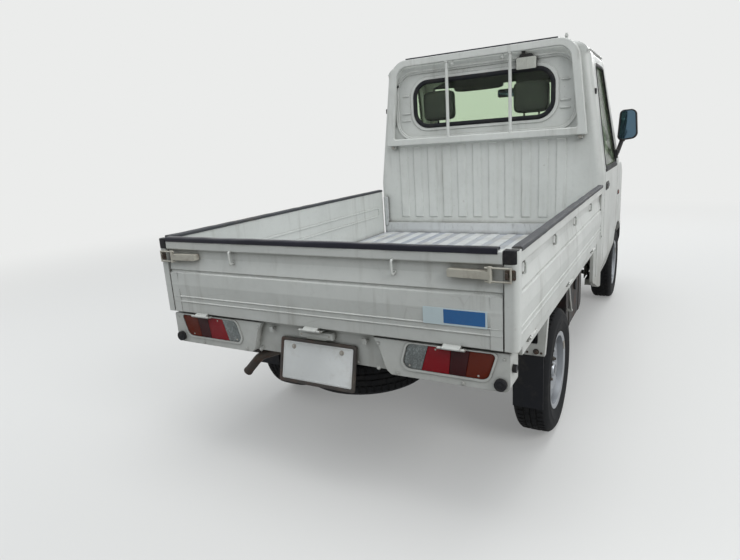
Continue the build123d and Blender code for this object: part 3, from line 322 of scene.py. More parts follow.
FINISHES = (
    # name, slot when it isn't the name, maker, tone, other values
    # both paints darken in inside corners: grime with painted shade
    ("white_paint", "", paint, (211, 214, 210), dict(low=0.5)),
    ("bed_paint", "white_paint", paint, (205, 208, 208), dict(hollow_grime_and_shade=0.6, scuffs=0.5, rust=0.4, floor=0.75)),
    ("chassis_black", "", coated, (22, 22, 24), dict(rough=0.6, rust=0.35, grain=0.2, shine=0.3)),
    ("plate_frame", "chassis_black", coated, (34, 30, 28), dict(rough=0.55, dust=0.3, rust=0.35, grain=0.2)),
    ("dark_plastic", "", coated, (22, 23, 26), dict(rough=0.5, dust=0.25, grain=0.35, shine=0.35)),
    ("interior_grey", "", coated, (96, 98, 99), dict(rough=0.6, dust=0.2, grain=0.35)),
    ("dial_face", "interior_grey", coated, (14, 14, 15), dict(rough=0.4, dust=0.05)),
    ("marks_white", "interior_grey", coated, (216, 216, 210), dict(rough=0.5, dust=0.1)),
    ("marks_red", "interior_grey", coated, (190, 40, 26), dict(rough=0.5, dust=0.05)),
    ("floor_mat", "interior_grey", coated, (34, 34, 35),
     dict(rough=0.85, dust=0.5, grain=0.6, grain_scale=300.0)),
    ("headliner", "interior_grey", coated, (52, 54, 53),
     dict(rough=0.8, dust=0.15, grain=0.4, grain_scale=700.0)),
    ("seat_vinyl", "", vinyl, (42, 44, 46), {}),
    ("webbing", "seat_vinyl", striped_webbing, (34, 35, 38), {}),
    ("tinted_glass", "", glass, (198, 220, 188), dict(rough=0.02, alpha=0.55)),
    # mirror_face is dark: painted reflection of dark surroundings, with a bluish cast
    ("mirror_face", "tinted_glass", mirror_face, (84, 108, 124), {}),
    ("lamp_clear", "", glass, (236, 240, 242), dict(rough=0.03, alpha=0.7)),
    ("lamp_crystal", "lamp_clear", crystal, (128, 136, 136), {}),
    ("lamp_frosted", "lamp_clear", coated, (182, 184, 176),
     dict(rough=0.42, grain=0.25, dusty=(128, 124, 112))),
    ("lamp_red", "", lens, (162, 0, 24), {}),
    ("lamp_dark_red", "lamp_red", lens, (68, 0, 8), {}),
    ("lamp_amber", "lamp_red", lens, (118, 34, 4), {}),
    ("steel_rim", "", coated, (152, 156, 161), dict(rough=0.38, metal=0.75, rust=0.15, dusty=(96, 88, 76))),
    ("reflector", "steel_rim", coated, (222, 224, 226), dict(rough=0.12, dust=0.1, metal=1.0, soft=0.0005)),
    ("tyre", "", coated, (20, 21, 23),
     dict(rough=0.8, dust=0.22, grain=0.4, dusty=(78, 76, 72), shine=0.2, wear=22)),
    ("black_rubber", "", coated, (10, 12, 17), dict(rough=0.6, dust=0.15, grain=0.3, shine=0.25)),
    ("edge_rubber", "black_rubber", coated, (11, 12, 26),
     dict(rough=0.3, dust=0.08, grain=0.25, dusty=(110, 116, 132), shine=0.25)),
    ("grey_rubber", "black_rubber", coated, (52, 54, 58),
     dict(rough=0.66, dust=0.3, grain=0.6, grain_scale=420.0)),
    ("bare_steel", "", coated, (60, 54, 50), dict(rough=0.6, metal=0.4, rust=0.9)),
    ("zinc", "bare_steel", coated, (150, 148, 142), dict(rough=0.4, dust=0.3, metal=0.8, rust=0.45)),
    ("dark_bolt", "bare_steel", coated, (58, 54, 50), dict(rough=0.5, dust=0.3, metal=0.6, rust=0.6)),
    ("cast_metal", "", coated, (84, 82, 78), dict(rough=0.6, dust=0.5, metal=0.5, rust=0.6)),
    ("latch_grey", "", coated, (180, 178, 166), dict(rough=0.5, rust=0.4, grain=0.1)),
    ("blank_plate", "", coated, (208, 211, 210), dict(rough=0.42, dust=0.3, dusty=(150, 140, 124))),
    ("sticker_pale", "blank_plate", coated, (196, 212, 216),
     dict(rough=0.4, dust=0.2, dusty=(150, 148, 142), soft=0.0004)),
    ("sticker_blue", "blank_plate", coated, (22, 88, 146),
     dict(rough=0.4, dust=0.2, dusty=(150, 148, 142), soft=0.0004)),
)
MATS = {}
for name, slot, maker, tone, values in FINISHES:
    MATS[name] = maker(Nodes(bpy.data.materials.new(name)), tone, **values)
    slot or name


def give(obj, mat):
    obj.data.materials.clear()
    obj.data.materials.append(mat)


def dress_nodes():
    """Each CAD node gets the finish of its slot, the bed's inside a scuffed one."""
    for part in frame["record"]["subparts"]:
        give(frame["nodes"][part["node"]], MATS[part["material_slot"]])
    give(frame["nodes"]["bed_floor"], MATS["bed_paint"])
    give(frame["nodes"]["number_plate"], MATS["plate_frame"])


dress_nodes()


# Mesh helpers
def rounded(corners, steps):
    """Closed outline through corners (u, v, rounding); the rounded ones become arcs."""
    out = []
    for i, (u, v, radius) in enumerate(corners):
        here = Vector((u, v))
        if radius <= 0:
            out.append((u, v))
            continue
        before = (Vector(corners[i - 1][:2]) - here).normalized()
        after = (Vector(corners[(i + 1) % len(corners)][:2]) - here).normalized()
        half = before.angle(after) / 2
        centre = here + (before + after).normalized() * (radius / math.sin(half))
        start = here + before * (radius / math.tan(half)) - centre
        end = here + after * (radius / math.tan(half)) - centre
        first = math.atan2(start.y, start.x)
        turn = (math.atan2(end.y, end.x) - first + math.pi) % (2 * math.pi) - math.pi
        for k in range(steps + 1):
            angle = first + turn * k / steps
            out.append((centre.x + radius * math.cos(angle), centre.y + radius * math.sin(angle)))
    return out


def rect(left, right, low, high, radius, steps):
    """The outline of a rectangle with rounded corners."""
    corners = ((left, low), (right, low), (right, high), (left, high))
    return rounded([(u, v, radius) for u, v in corners], steps)


def clipped(outline, a, b):
    """The part of a convex outline to the left of the line from a to b."""
    a, b = Vector(a), Vector(b)
    normal = Vector((a.y - b.y, b.x - a.x))
    depth = [(Vector(p) - a).dot(normal) for p in outline]
    out = []
    for i, point in enumerate(outline):
        last = i - 1
        if depth[last] * depth[i] < 0:
            share = depth[last] / (depth[last] - depth[i])
            out.append(tuple(Vector(outline[last]).lerp(Vector(point), share)))
        if depth[i] >= 0:
            out.append(tuple(point))
    return out


def curve(points, steps):
    """A smooth line through the points."""
    points = [Vector(p) for p in points]
    ends = [2 * points[0] - points[1]] + points + [2 * points[-1] - points[-2]]
    out = []
    for i in range(1, len(ends) - 2):
        a, b, c, d = ends[i - 1 : i + 3]
        for k in range(steps):
            t = k / steps
            bend = (2 * a - 5 * b + 4 * c - d) * t**2 + (3 * b - a - 3 * c + d) * t**3
            out.append(0.5 * (2 * b + (c - a) * t + bend))
    return out + [points[-1]]


def ring(radius, sides, height=None):
    """Points round an ellipse, for sweeps."""
    height = radius if height is None else height
    turns = [2 * math.pi * k / sides for k in range(sides)]
    return [(radius * math.cos(t), height * math.sin(t)) for t in turns]


def square_to(axis):
    """Two directions at right angles to an axis."""
    side = axis.orthogonal().normalized()
    return side, axis.cross(side)


PLANES = {
    "xy": lambda u, v, w: (u, v, w),
    "xz": lambda u, v, w: (u, w, v),
    "yz": lambda u, v, w: (w, u, v),
}
RIGHT, BACK, UP = (1, 0, 0), (0, 1, 0), (0, 0, 1)


class Shape:
    """Collects closed solids, in millimetres, for one piece.

    A plain Shape() takes places as they are. Shape("right") turns the sign of each x, so that a place can be
    written once, for the left side.
    """

    def __init__(self, side="left"):
        self.mesh = bmesh.new()
        self.side = side
        self.sign = dict(SIDES)[side]

    def both(self):
        """What a loop over this draws comes on the left side and then on the right."""
        for self.side, self.sign in SIDES:
            yield self.sign
        self.side, self.sign = SIDES[0]

    def at(self, point):
        return Vector((point[0] * self.sign, point[1], point[2]))

    def skin(self, rings, loop=False):
        """Skins rings of points as they are; loop joins the last ring to the first."""
        rows = [[self.mesh.verts.new(p) for p in points] for points in rings]
        count = len(rows[0])
        new = []
        for i in range(len(rows) if loop else len(rows) - 1):
            here, there = rows[i], rows[(i + 1) % len(rows)]
            for k in range(count):
                after = (k + 1) % count
                new.append(self.mesh.faces.new((here[k], here[after], there[after], there[k])))
        if not loop:
            new.append(self.mesh.faces.new(rows[0]))
            new.append(self.mesh.faces.new(list(reversed(rows[-1]))))
        return new

    def loft(self, rings, loop=False, edge=0.0, steps=2):
        """Skins rings of points on the shape's side and rounds its sharper edges."""
        faces = self.skin([[self.at(p) for p in points] for points in rings], loop)
        if not edge:
            return self
        bmesh.ops.recalc_face_normals(self.mesh, faces=faces)
        edges = set()
        for face in faces:
            for side in face.edges:
                if len(side.link_faces) == 2 and side.calc_face_angle() > math.radians(25):
                    edges.add(side)
        bmesh.ops.bevel(self.mesh, geom=list(edges), offset=edge, segments=steps, profile=0.6,
                        affect="EDGES", clamp_overlap=True)
        return self

    def slab(self, outline, low, high, plane="xz", edge=0.0, steps=2):
        """A plate over an outline in one plane, from low to high along the third axis."""
        rings = [[PLANES[plane](u, v, w) for u, v in outline] for w in (low, high)]
        return self.loft(rings, False, edge, steps)

    def rim(self, outline, hole, low, high, plane, edge):
        """A flat frame between two outlines that have the same number of points."""
        levels = ((outline, low), (outline, high), (hole, high), (hole, low))
        rings = [[PLANES[plane](u, v, level) for u, v in points] for points, level in levels]
        return self.loft(rings, True, edge)

    def box(self, x, y, z, edge=1.5, steps=2):
        """A block with rounded edges from its three ranges."""
        outline = [(x[0], y[0]), (x[1], y[0]), (x[1], y[1]), (x[0], y[1])]
        return self.slab(outline, z[0], z[1], "xy", edge, steps)

    def sweep(self, profile, path, up=UP, loop=False):
        """Carries a profile (side, up) along a path with mitred corners."""
        path = [self.at(p) for p in path]
        up = self.at(up)
        count = len(path)
        rings = []
        for i, here in enumerate(path):
            before = here - path[i - 1] if i or loop else path[1] - here
            after = path[(i + 1) % count] - here if i < count - 1 or loop else here - path[i - 1]
            before, after = before.normalized(), after.normalized()
            cut = (before + after).normalized()
            side = before.cross(up).normalized()
            rise = side.cross(before)
            points = []
            for a, b in profile:
                offset = side * a + rise * b
                points.append(here + offset - before * (offset.dot(cut) / before.dot(cut)))
            rings.append(points)
        self.skin(rings, loop)
        return self

    def tube(self, points, radius, sides=10, smooth=6):
        """A round rod along points, bent smoothly."""
        points = [self.at(p) for p in points]
        path = curve(points, smooth) if smooth and len(points) > 2 else points
        side = (path[1] - path[0]).normalized().orthogonal().normalized()
        rings = []
        for i, here in enumerate(path):
            before = here - path[i - 1] if i else path[1] - here
            after = path[i + 1] - here if i < len(path) - 1 else before
            ahead = (before.normalized() + after.normalized()).normalized()
            side = (side - ahead * side.dot(ahead)).normalized()
            rise = ahead.cross(side)
            rings.append([here + side * a + rise * b for a, b in ring(radius, sides)])
        self.skin(rings)
        return self

    def turned(self, profile, centre, axis, sides=32):
        """A profile (radius, height) turned round an axis; a ring unless it starts at radius 0."""
        centre, axis = self.at(centre), self.at(axis).normalized()
        side, rise = square_to(axis)
        rings = []
        for radius, height in profile:
            points = ring(max(radius, 0.01), sides)
            rings.append([centre + axis * height + side * a + rise * b for a, b in points])
        self.skin(rings, profile[0][0] > 0)
        return self

    def bolt(self, centre, axis, across=10.0, height=4.0, washer=True, turn=0.3):
        """A hexagon head with a chamfered top, on a washer."""
        base = 0.0
        if washer:
            reach = across * 0.95
            self.turned([(0, 0), (reach, 0), (reach, 0.9), (reach - 0.5, 1.3), (0, 1.3)], centre, axis, 20)
            base = 1.2
        centre, axis = self.at(centre), self.at(axis).normalized()
        side, rise = square_to(axis)
        rings = []
        for share, level in ((1, base), (1, base + height * 0.75), (0.82, base + height)):
            reach = across / math.sqrt(3) * share
            angles = [turn + k * math.pi / 3 for k in range(6)]
            rings.append([centre + axis * level + (side * math.cos(t) + rise * math.sin(t)) * reach
                          for t in angles])
        self.skin(rings)
        return self

    def bolts(self, centres, axis, *sizes):
        for centre in centres:
            self.bolt(centre, axis, *sizes)
        return self

    def dome(self, centre, axis, radius, height, sides=24, rows=5):
        """A low round cap."""
        profile = [(0, 0), (radius, 0)]
        for k in range(rows + 1):
            angle = math.pi / 2 * k / rows
            profile.append((radius * math.cos(angle), 0.6 + height * math.sin(angle)))
        return self.turned(profile, centre, axis, sides)

    def reshape(self, change):
        """Moves each point by a function of its place."""
        for vert in self.mesh.verts:
            vert.co = Vector(change(vert.co.copy()))
        return self

    def piece(self, name, mat, body="truck", sharp=32):
        """Makes the object: smooth faces with creases, its material, the body that it rides on.

        A star in the name or the body stands for the shape's side.
        """
        name, body = name.replace("*", self.side), body.replace("*", self.side)
        bmesh.ops.recalc_face_normals(self.mesh, faces=self.mesh.faces)
        bmesh.ops.transform(self.mesh, matrix=Matrix.Scale(MM, 4), verts=self.mesh.verts)
        data = bpy.data.meshes.new(name)
        self.mesh.to_mesh(data)
        self.mesh.free()
        data.shade_smooth()
        data.set_sharp_from_angle(angle=math.radians(sharp))
        obj = bpy.data.objects.new(name, data)
        scene.collection.objects.link(obj)
        give(obj, MATS[mat])
        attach(obj, body)
        return obj


SURFACES = {}


def hit(node, start, aim):
    """Where a ray meets a CAD node, in millimetres."""
    if node not in SURFACES:
        obj = frame["nodes"][node]
        points = [obj.matrix_world @ vert.co / MM for vert in obj.data.vertices]
        SURFACES[node] = BVHTree.FromPolygons(points, [tuple(face.vertices) for face in obj.data.polygons])
    place = SURFACES[node].ray_cast(Vector(start), Vector(aim))[0]
    if place is None:
        raise RuntimeError(f"no surface of {node} from {start}")
    return place


def wobble(place, period, amount, seed=0.0):
    """A small smooth unevenness along a line."""
    return amount * noise.noise(Vector((place / period, seed, 0.37)))


# Gates: rubber edge strips, caps, catches, beads and rivets
SIDE_HOOKS_Y = (1598, 1129, 677, 203)
TAIL_HOOKS_X = (346, -338)
TAIL_HINGES_X = (-530, 3, 541)
TAIL_STRIP = rounded(((1650.5, 935, 1.5), (1650.5, 953, 7), (1683.4, 954, 7), (1683.4, 935, 1.5),
                      (1681.4, 935, 0), (1681.4, 941.5, 0), (1653.2, 945.5, 0), (1653.2, 935, 0)), 5)
GATE_STRIP = rounded(((704.8, 938, 1), (704.8, 951, 5), (737.2, 953, 6), (737.2, 938, 1.5),
                      (735.3, 938, 0), (735.3, 945.4, 0), (707.2, 945.4, 0), (707.2, 939, 0)), 5)


def edge_strip(profile, start, end, middle, seed, place):
    """A rubber channel pushed over a gate's top edge, a little uneven along its length.

    middle is the centre of its section; place takes (along, u, v) to the row frame.
    """
    count = int(abs(end - start) / 14)
    rings = []
    for i in range(count + 1):
        along = start + (end - start) * i / count
        sway = wobble(along, 130, 1.2, seed)
        lift = wobble(along, 90, 1.6, seed + 5)
        swell = 1 + wobble(along, 60, 0.08, seed + 9)
        rings.append([place(along, middle[0] + (u - middle[0]) * swell + sway, v + lift * (v > middle[1]))
                      for u, v in profile])
    return Shape().loft(rings)


def gate_details(side):
    """Post cap, latch catch, inner bead and hook rivets of one side gate."""
    cap = rounded(((692.4, 1652, 2), (733.4, 1652, 2), (733.4, 1682.4, 15), (692.4, 1682.4, 3)), 5)
    Shape(side).slab(cap, 906, 946.6, "xy", 4, 3).piece("post_cap_*", "black_rubber", "gate_*")
    catch = Shape(side).slab(rect(697, 729, 861, 891, 4, 3), 1681, 1683.4, "xz", 0.8)
    lug = ((1683, 868, 0), (1694, 868, 2), (1696, 884, 3), (1691, 885, 1), (1688, 876, 1), (1683, 876, 0))
    catch.slab(rounded(lug, 3), 700, 709, "yz", 0.8)
    catch.bolts(((722, 1683.2, 869), (722, 1683.2, 884)), BACK, 7, 2.5, False)
    catch.piece("latch_catch_*", "dark_bolt", "gate_*")
    bead = Shape(side).rim(rect(-190, 1590, 770, 838, 16, 5), rect(-178, 1578, 782, 826, 8, 5),
                           708.5, 704.8, "yz", 1.4)
    bead.piece("gate_bead_*", "white_paint", "gate_*")
    places = [(733.8, y + 9, z) for y in SIDE_HOOKS_Y for z in (868, 889)]
    rivets = Shape(side).bolts(places, RIGHT, 5.5, 1.6, False)
    rivets.piece("gate_hook_rivets_*", "white_paint", "gate_*")


def tailgate_details():
    """Edge strip, plain sticker block and hook roots."""
    strip = edge_strip(TAIL_STRIP, -676, 688, (1667, 946), 1.0, lambda along, u, v: (along, u, v))
    strip.piece("tailgate_edge_strip", "edge_rubber", "tailgate")
    backing = Shape().slab(rect(-644, -436, 706, 761, 3, 3), 1680.2, 1681.35)
    backing.piece("sticker_backing", "sticker_pale", "tailgate")
    bar = Shape().slab(rect(-638, -505, 712, 757, 2, 3), 1681.2, 1681.6)
    bar.piece("sticker_bar", "sticker_blue", "tailgate")
    roots = Shape()
    for x in TAIL_HOOKS_X:
        for z in (862, 902):
            roots.turned([(0, -3), (6.5, -3), (6.5, 0.6), (4.6, 2.4), (0, 2.4)], (x, 1668.5, z), BACK, 16)
    roots.piece("tailgate_hook_roots", "white_paint", "tailgate")


tailgate_details()
for side, sign in SIDES:
    profile = [(sign * u, v) for u, v in GATE_STRIP]
    strip = edge_strip(profile, -249, 1640, (sign * 721, 946), 3.0 * sign, lambda along, u, v: (u, along, v))
    strip.piece(f"gate_edge_strip_{side}", "grey_rubber", f"gate_{side}")
    gate_details(side)

# Tail lamps: four coloured bands with slanted borders
LAMP = rounded(((372.8, 625.2, 24), (345.8, 537.8, 24), (639.2, 537.8, 29), (667, 625.2, 11)), 6)
LAMP_BORDERS = (((445, 626), (418, 537)), ((523, 626), (513, 537)), ((584, 626), (568, 537)))
LAMP_BANDS = ("lamp_crystal", "lamp_red", "lamp_dark_red", "lamp_amber")
BAND_GAP = 0.35


def lamp_band(number):
    """The outline of one band between its two borders, with a hair's gap to the next."""
    outline = LAMP
    if number > 0:
        top, low = LAMP_BORDERS[number - 1]
        outline = clipped(outline, (top[0] + BAND_GAP, top[1]), (low[0] + BAND_GAP, low[1]))
    if number < 3:
        top, low = LAMP_BORDERS[number]
        outline = clipped(outline, (low[0] - BAND_GAP, low[1]), (top[0] - BAND_GAP, top[1]))
    return outline


def tail_lamps():
    """Both lamps' lenses, black seals and screws."""
    for number, mat in enumerate(LAMP_BANDS):
        shape = Shape()
        for _ in shape.both():
            shape.slab(lamp_band(number), 1659, 1671.6, "xz", 1.6)
        shape.reshape(lambda p: (p.x, p.y - 2.2 * ((abs(p.x) - 508) / 160) ** 2 * (p.y > 1664), p.z))
        obj = shape.piece("tail_" + mat, mat)
        if mat == "lamp_red":
            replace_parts(obj, "tail_lamps")
    grown = [(509 + (u - 509) * 1.012, 581 + (v - 581) * 1.03) for u, v in LAMP]
    seal, screws = Shape(), Shape()
    for _ in seal.both():
        seal.rim(grown, LAMP, 1657.8, 1669.6, "xz", 0.6)
    for _ in screws.both():
        for x, z in ((376, 548), (470, 616), (610, 547)):
            screws.dome((x, 1670.2, z), BACK, 3.6, 1.4, 14, 3)
    seal.piece("tail_lamp_seals", "black_rubber")
    screws.piece("tail_lamp_screws", "zinc")


tail_lamps()

# Rear panel: plate, its lamp, stoppers, rivets and hinge pins
PLATE_TILT = math.radians(14)
PLATE_CENTRE = (1669, 499)  # y, z


def on_plate(p):
    """From plate coordinates (across, out, up) to the tilted plate in the row frame."""
    out = p.y + 3
    return (p.x, PLATE_CENTRE[0] - p.z * math.sin(PLATE_TILT) + out * math.cos(PLATE_TILT),
            PLATE_CENTRE[1] + p.z * math.cos(PLATE_TILT) + out * math.sin(PLATE_TILT))


def plate_pieces():
    """A blank plate with its rim and bolts, and the lamp above it with its ribs and screws."""
    field = Shape().slab(rect(-152, 152, -71, 71, 6, 5), -1.5, -0.4, "xz", 0.4)
    field.rim(rect(-148, 148, -67, 67, 6, 5), rect(-145.5, 145.5, -64.5, 64.5, 4, 5), -0.9, 0.25, "xz", 0.3)
    field.reshape(on_plate).piece("plate_field", "blank_plate")
    rim = Shape().rim(rect(-164, 164, -83, 83, 9, 5), rect(-155, 155, -74, 74, 5, 5), -0.6, 1.4, "xz", 0.7)
    rim.reshape(on_plate).piece("plate_rim", "plate_frame")
    bolts = Shape().bolts(((-105, -0.5, 52), (105, -0.5, 52)), BACK)
    bolts.reshape(on_plate).piece("plate_bolts", "zinc")
    lamp = Shape().slab(rect(-46, 42, 1645, 1663, 4, 4), 589.5, 595, "xy", 2)
    lamp.piece("plate_lamp_lens", "lamp_frosted")
    screws = Shape().bolts(((-62, 1654, 594.3), (58, 1654, 594.3)), (0, 0, -1), 7, 2.4, False)
    for x in (-62, 58):
        screws.dome((x, 1667.4, 608), BACK, 4, 1.6, 16, 3)
    screws.piece("plate_lamp_screws", "zinc")
    ribs = Shape()
    for z in (600, 613):
        ribs.box((-70, 65), (1667.2, 1668.8), (z - 1, z + 1), 0.6)
    ribs.piece("plate_lamp_ribs", "white_paint")


def panel_details():
    """Stopper rings, panel rivets and the ends of the tailgate's hinge pins."""
    rings, bolts, pins = Shape(), Shape(), Shape()
    section = [(6, 1684.6), (12, 1684.6), (13.5, 1686.2), (15.5, 1686.2), (18, 1684), (19.4, 1680),
               (19.4, 1672), (6, 1672)]
    for _ in rings.both():
        rings.turned(section, (681, 0, 531), BACK, 28)
        rings.bolt((681, 1684.4, 531), BACK, 9, 2)
    rings.piece("stopper_rings", "black_rubber")
    for _ in bolts.both():
        places = ((258, 522), (262, 612), (330, 516), (560, 514))
        bolts.bolts([(x, 1669.9, z) for x, z in places], BACK, 8, 2.6)
        bolts.bolt((692, 1669.9, 612), BACK, 8, 2.6, False)
        bolts.bolts(((270, 1641.8, 520), (160, 1641.8, 520)), BACK, 9, 3)
    bolts.piece("rear_panel_bolts", "white_paint")
    for x in TAIL_HINGES_X:
        for end in (-1, 1):
            pins.dome((x + end * 45.54, 1692.5, 633), (end, 0, 0), 4.2, 1.6, 14, 3)
    pins.piece("tail_hinge_pins", "zinc")


plate_pieces()
panel_details()

# Guard frame: rubber on its top bar, foot bolts, side buffers; work lamp
FRAME_Y = -246


def guard_details():
    """Rubber on the top bar, bolts at the feet, buffers against the cab and the bars' collars."""
    path = [(x, FRAME_Y, 1780.6 + wobble(x, 80, 0.5)) for x in range(-473, 474, 11)]
    profile = rounded(((-12, 0, 1), (12, 0, 1), (12, 6.5, 5), (-12, 6.5, 5)), 5)
    Shape().sweep(profile, path).piece("guard_top_rubber", "edge_rubber")
    bolts, buffers, collars = Shape(), Shape(), Shape()
    for _ in bolts.both():
        bolts.bolt((603, -250.4, 1231), BACK, 12, 6)
        bolts.bolt((603, -250.4, 1249), BACK, 9, 5, False)
        bolts.bolt((617.5, -264, 1238), RIGHT, 10, 5)
        bolts.bolt((600, -245.5, 1390), BACK, 8, 4, False)
    bolts.piece("guard_bolts", "zinc")
    section = [(0, 0), (7, 0), (8.5, 2), (8.5, 8), (6.5, 10), (6.5, 24), (0, 24)]
    for _ in buffers.both():
        buffers.turned(section, (560, -281, 1626), BACK, 20)
    buffers.piece("guard_buffers", "black_rubber")
    section = [(10.2, -5), (13, -5), (13.4, -3), (13.4, 3), (13, 5), (10.2, 5)]
    for x in (-200, 200):
        for z in (1287, 1736):
            collars.turned(section, (x, FRAME_Y, z), UP, 20)
    collars.turned([(7.2, -4), (10, -4), (10, 4), (7.2, 4)], (-518, FRAME_Y, 1784), UP, 16)
    collars.piece("guard_bar_collars", "white_paint")


def work_lamp():
    """A frosted lens in a rounded housing under the top bar, and its bracket."""
    housing = Shape().slab(rect(-352, -229, 1634, 1706, 12, 6), -275.5, -262.5, "xz", 4, 3)
    housing.rim(rect(-348, -233, 1638, 1702, 9, 6), rect(-343, -238, 1643, 1697, 6, 6),
                -263.5, -260.4, "xz", 1.0)
    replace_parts(housing.piece("work_lamp_housing", "dark_plastic"), "work_lamp")
    face = Shape().slab(rect(-349, -232, 1637, 1703, 9, 6), -264, -258.2, "xz", 3.5, 3)
    for k in range(11):
        x = -338 + k * 9.6
        face.box((x, x + 5), (-259, -256.8), (1645, 1695), 0.9)
    face.piece("work_lamp_lens", "lamp_frosted")
    bracket = Shape().slab(rect(-284, -262, 1700, 1760, 2, 3), -272, -269, "xz", 0.8)
    bracket.box((-284, -262), (-272, -243), (1757, 1761), 0.8)
    saddle = rounded(((-332, 1703, 3), (-246, 1703, 3), (-252, 1722, 8), (-322, 1722, 8)), 4)
    bracket.slab(saddle, -277, -268.5, "xz", 1.5)
    bracket.bolt((-273, -268.8, 1716), BACK)
    bracket.piece("work_lamp_bracket", "dark_plastic")


guard_details()
work_lamp()
REAR_SEAL = rounded(((-15, -6, 2), (13, -6, 2), (13, 3, 3), (3, 8.5, 3), (-6, 8.5, 3), (-15, 2, 3)), 3)
rear_hole = [(u, -290, v) for u, v in rect(-441, 441, 1361, 1635, 92, 10)]
Shape().sweep(REAR_SEAL, rear_hole, BACK, True).piece("rear_window_seal", "black_rubber")

# Wheels: tyres with tread blocks, hub caps, nuts and valves
REAR_AXLE_Y = 895
AXLE_Z = 268
WHEELS = (("front_left", 650, -1305), ("front_right", -650, -1305), ("rear_left", 645, REAR_AXLE_Y),
          ("rear_right", -645, REAR_AXLE_Y))
SIDEWALL = (
    # across, radius
    (54, 153.5), (57, 158), (60, 164), (62.5, 170), (64, 171), (66, 178), (68.5, 188), (70.8, 198),
    (71.8, 206), (72.4, 207), (72.4, 214), (71.8, 215), (71.4, 224), (70, 233), (69.8, 236), (70.6, 238),
    (70, 242), (67, 248), (63.5, 254), (60, 258.5), (56, 262), (52, 264.6),
)
TREAD = (50, 46, 41, 36, 31, 28.5, 27, 21, 19.5, 14, 8, 3.5, 2)
CROWN_RADIUS = 267.9
PITCHES = 60
PITCH_STEPS = (0.0, 0.3, 0.6, 0.66, 0.94)
SPARE_PLACE = (0, 1310, 400)


def tread_depth(across, pitch, step):
    """How far the tread sinks below the tyre's crown at one point of the pattern."""
    a = abs(across)
    crown = 0.2 + 1.6 * (a / 50) ** 2
    if 21 <= a <= 27 or a <= 2:
        return crown + 6.5
    slot = step >= 3 if a > 27 else step in (1, 2) and pitch % 2 == (across > 0)
    if slot:
        return crown + (5.0 if a > 27 else 3.5)
    return crown


def tyre_shape(place):
    """One tyre with its blocks; place takes (across, radius, angle) to the row frame."""
    rings = []
    for pitch in range(PITCHES):
        for step, share in enumerate(PITCH_STEPS):
            angle = 2 * math.pi * (pitch + share) / PITCHES
            section = [(-a, r) for a, r in SIDEWALL]
            for across in [-t for t in TREAD] + list(reversed(TREAD)):
                section.append((across, CROWN_RADIUS - tread_depth(across, pitch, step)))
            section += reversed(SIDEWALL)
            rings.append([place(a, r, angle) for a, r in section])
    return Shape().loft(rings, loop=True)


def wheel_pieces(name, x, y):
    """Tyre, centre cap, nuts, valve and balance weight of one wheel."""
    body = "wheel_" + name
    side = math.copysign(1, x)
    axis = (side, 0, 0)

    def place(across, radius, angle):
        return (x + side * across, y + radius * math.cos(angle), AXLE_Z + radius * math.sin(angle))

    tyre = tyre_shape(place).piece(f"tyre_tread_{name}", "tyre", body, 40)
    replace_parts(tyre, f"tyre_{name}")
    hub = place(0, 0, 0)
    cap = Shape().turned([(0, 33), (26.6, 33), (26.6, 30.2), (33, 30.2), (34, 32), (32, 46), (28, 51),
                          (14, 54), (0, 55)], hub, axis, 36)
    cap.turned([(16, 54), (19, 54), (19.6, 54.6), (16, 55.4)], hub, axis, 30)
    cap.turned([(60, 30), (64, 30), (65, 33.5), (62, 35), (59.5, 33.5)], hub, axis, 48)
    cap.piece(f"hub_cap_{name}", "steel_rim", body)
    nuts = Shape()
    for k in range(4):
        angle = math.pi / 4 + k * math.pi / 2
        centre = place(29.5, 48, angle)
        nuts.bolt(centre, axis, 17, 13, False, angle)
        nuts.turned([(0, 0), (10.5, 0), (9.6, 3), (0, 3)], centre, axis, 18)
        nuts.turned([(0, 12), (5.5, 12), (5.5, 18), (4.6, 19), (0, 19)], centre, axis, 14)
    nuts.piece(f"wheel_nuts_{name}", "dark_bolt", body)
    start, end = Vector(place(14, 139, 1.05)), Vector(place(48, 128, 1.05))
    valve = Shape().tube([start, start.lerp(end, 0.5), end], 4.2, 12, 3)
    valve.turned([(0, 0), (4.8, 0), (4.8, 9), (3.6, 10.5), (0, 10.5)], end, end - start, 12)
    valve.piece(f"wheel_valve_{name}", "black_rubber", body)
    section = ((59.5, 146), (63.8, 148), (63.8, 163), (59.5, 163))
    weight = Shape().loft([[place(a, r, 2.6 + k * 0.03) for a, r in section] for k in range(9)])
    weight.piece(f"balance_weight_{name}", "zinc", body)


def spare_wheel():
    """The spare lies flat under the bed's tail, on a carrier between the rails."""
    x, y, z = SPARE_PLACE
    tyre = tyre_shape(lambda a, r, t: (x + r * math.cos(t), y + r * math.sin(t), z + a))
    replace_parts(tyre.piece("tyre_tread_spare", "tyre", "truck", 40), "spare_wheel")
    disc = Shape().turned(
        [(0, 8), (28, 8), (30, 2), (66, 2), (82, -12), (96, -10), (120, 6), (133, 22), (140, 30), (152, 34),
         (160, 52), (167, 56), (167, 60), (156, 58), (146, 40), (132, 30), (116, 14), (94, -2), (84, -4),
         (66, 10), (30, 10), (28, 14), (0, 14)], (x, y, 398), UP, 56)
    disc.turned([(147, 40), (152.5, 44), (152.5, -58), (160, -62), (167, -60), (167, -57), (158, -54),
                 (149, -50)], (x, y, 398), UP, 56)
    disc.piece("spare_disc", "steel_rim", "truck", 40)
    carrier = Shape().tube([(x, y, 410), (x, y, 460), (x, y, 527)], 9, 14, 2)
    carrier.bolt((x, y, 404), (0, 0, -1), 24, 16)
    carrier.slab(rect(-34, 34, 1276, 1344, 8, 4), 407, 411, "xy", 1)
    for near, far, low in ((1293, 1297, 500), (1323, 1327, 500), (1293, 1327, 527)):
        carrier.box((-349, 349), (near, far), (low, 530))
    carrier.piece("spare_carrier", "chassis_black")


for name, x, y in WHEELS:
    wheel_pieces(name, x, y)
spare_wheel()

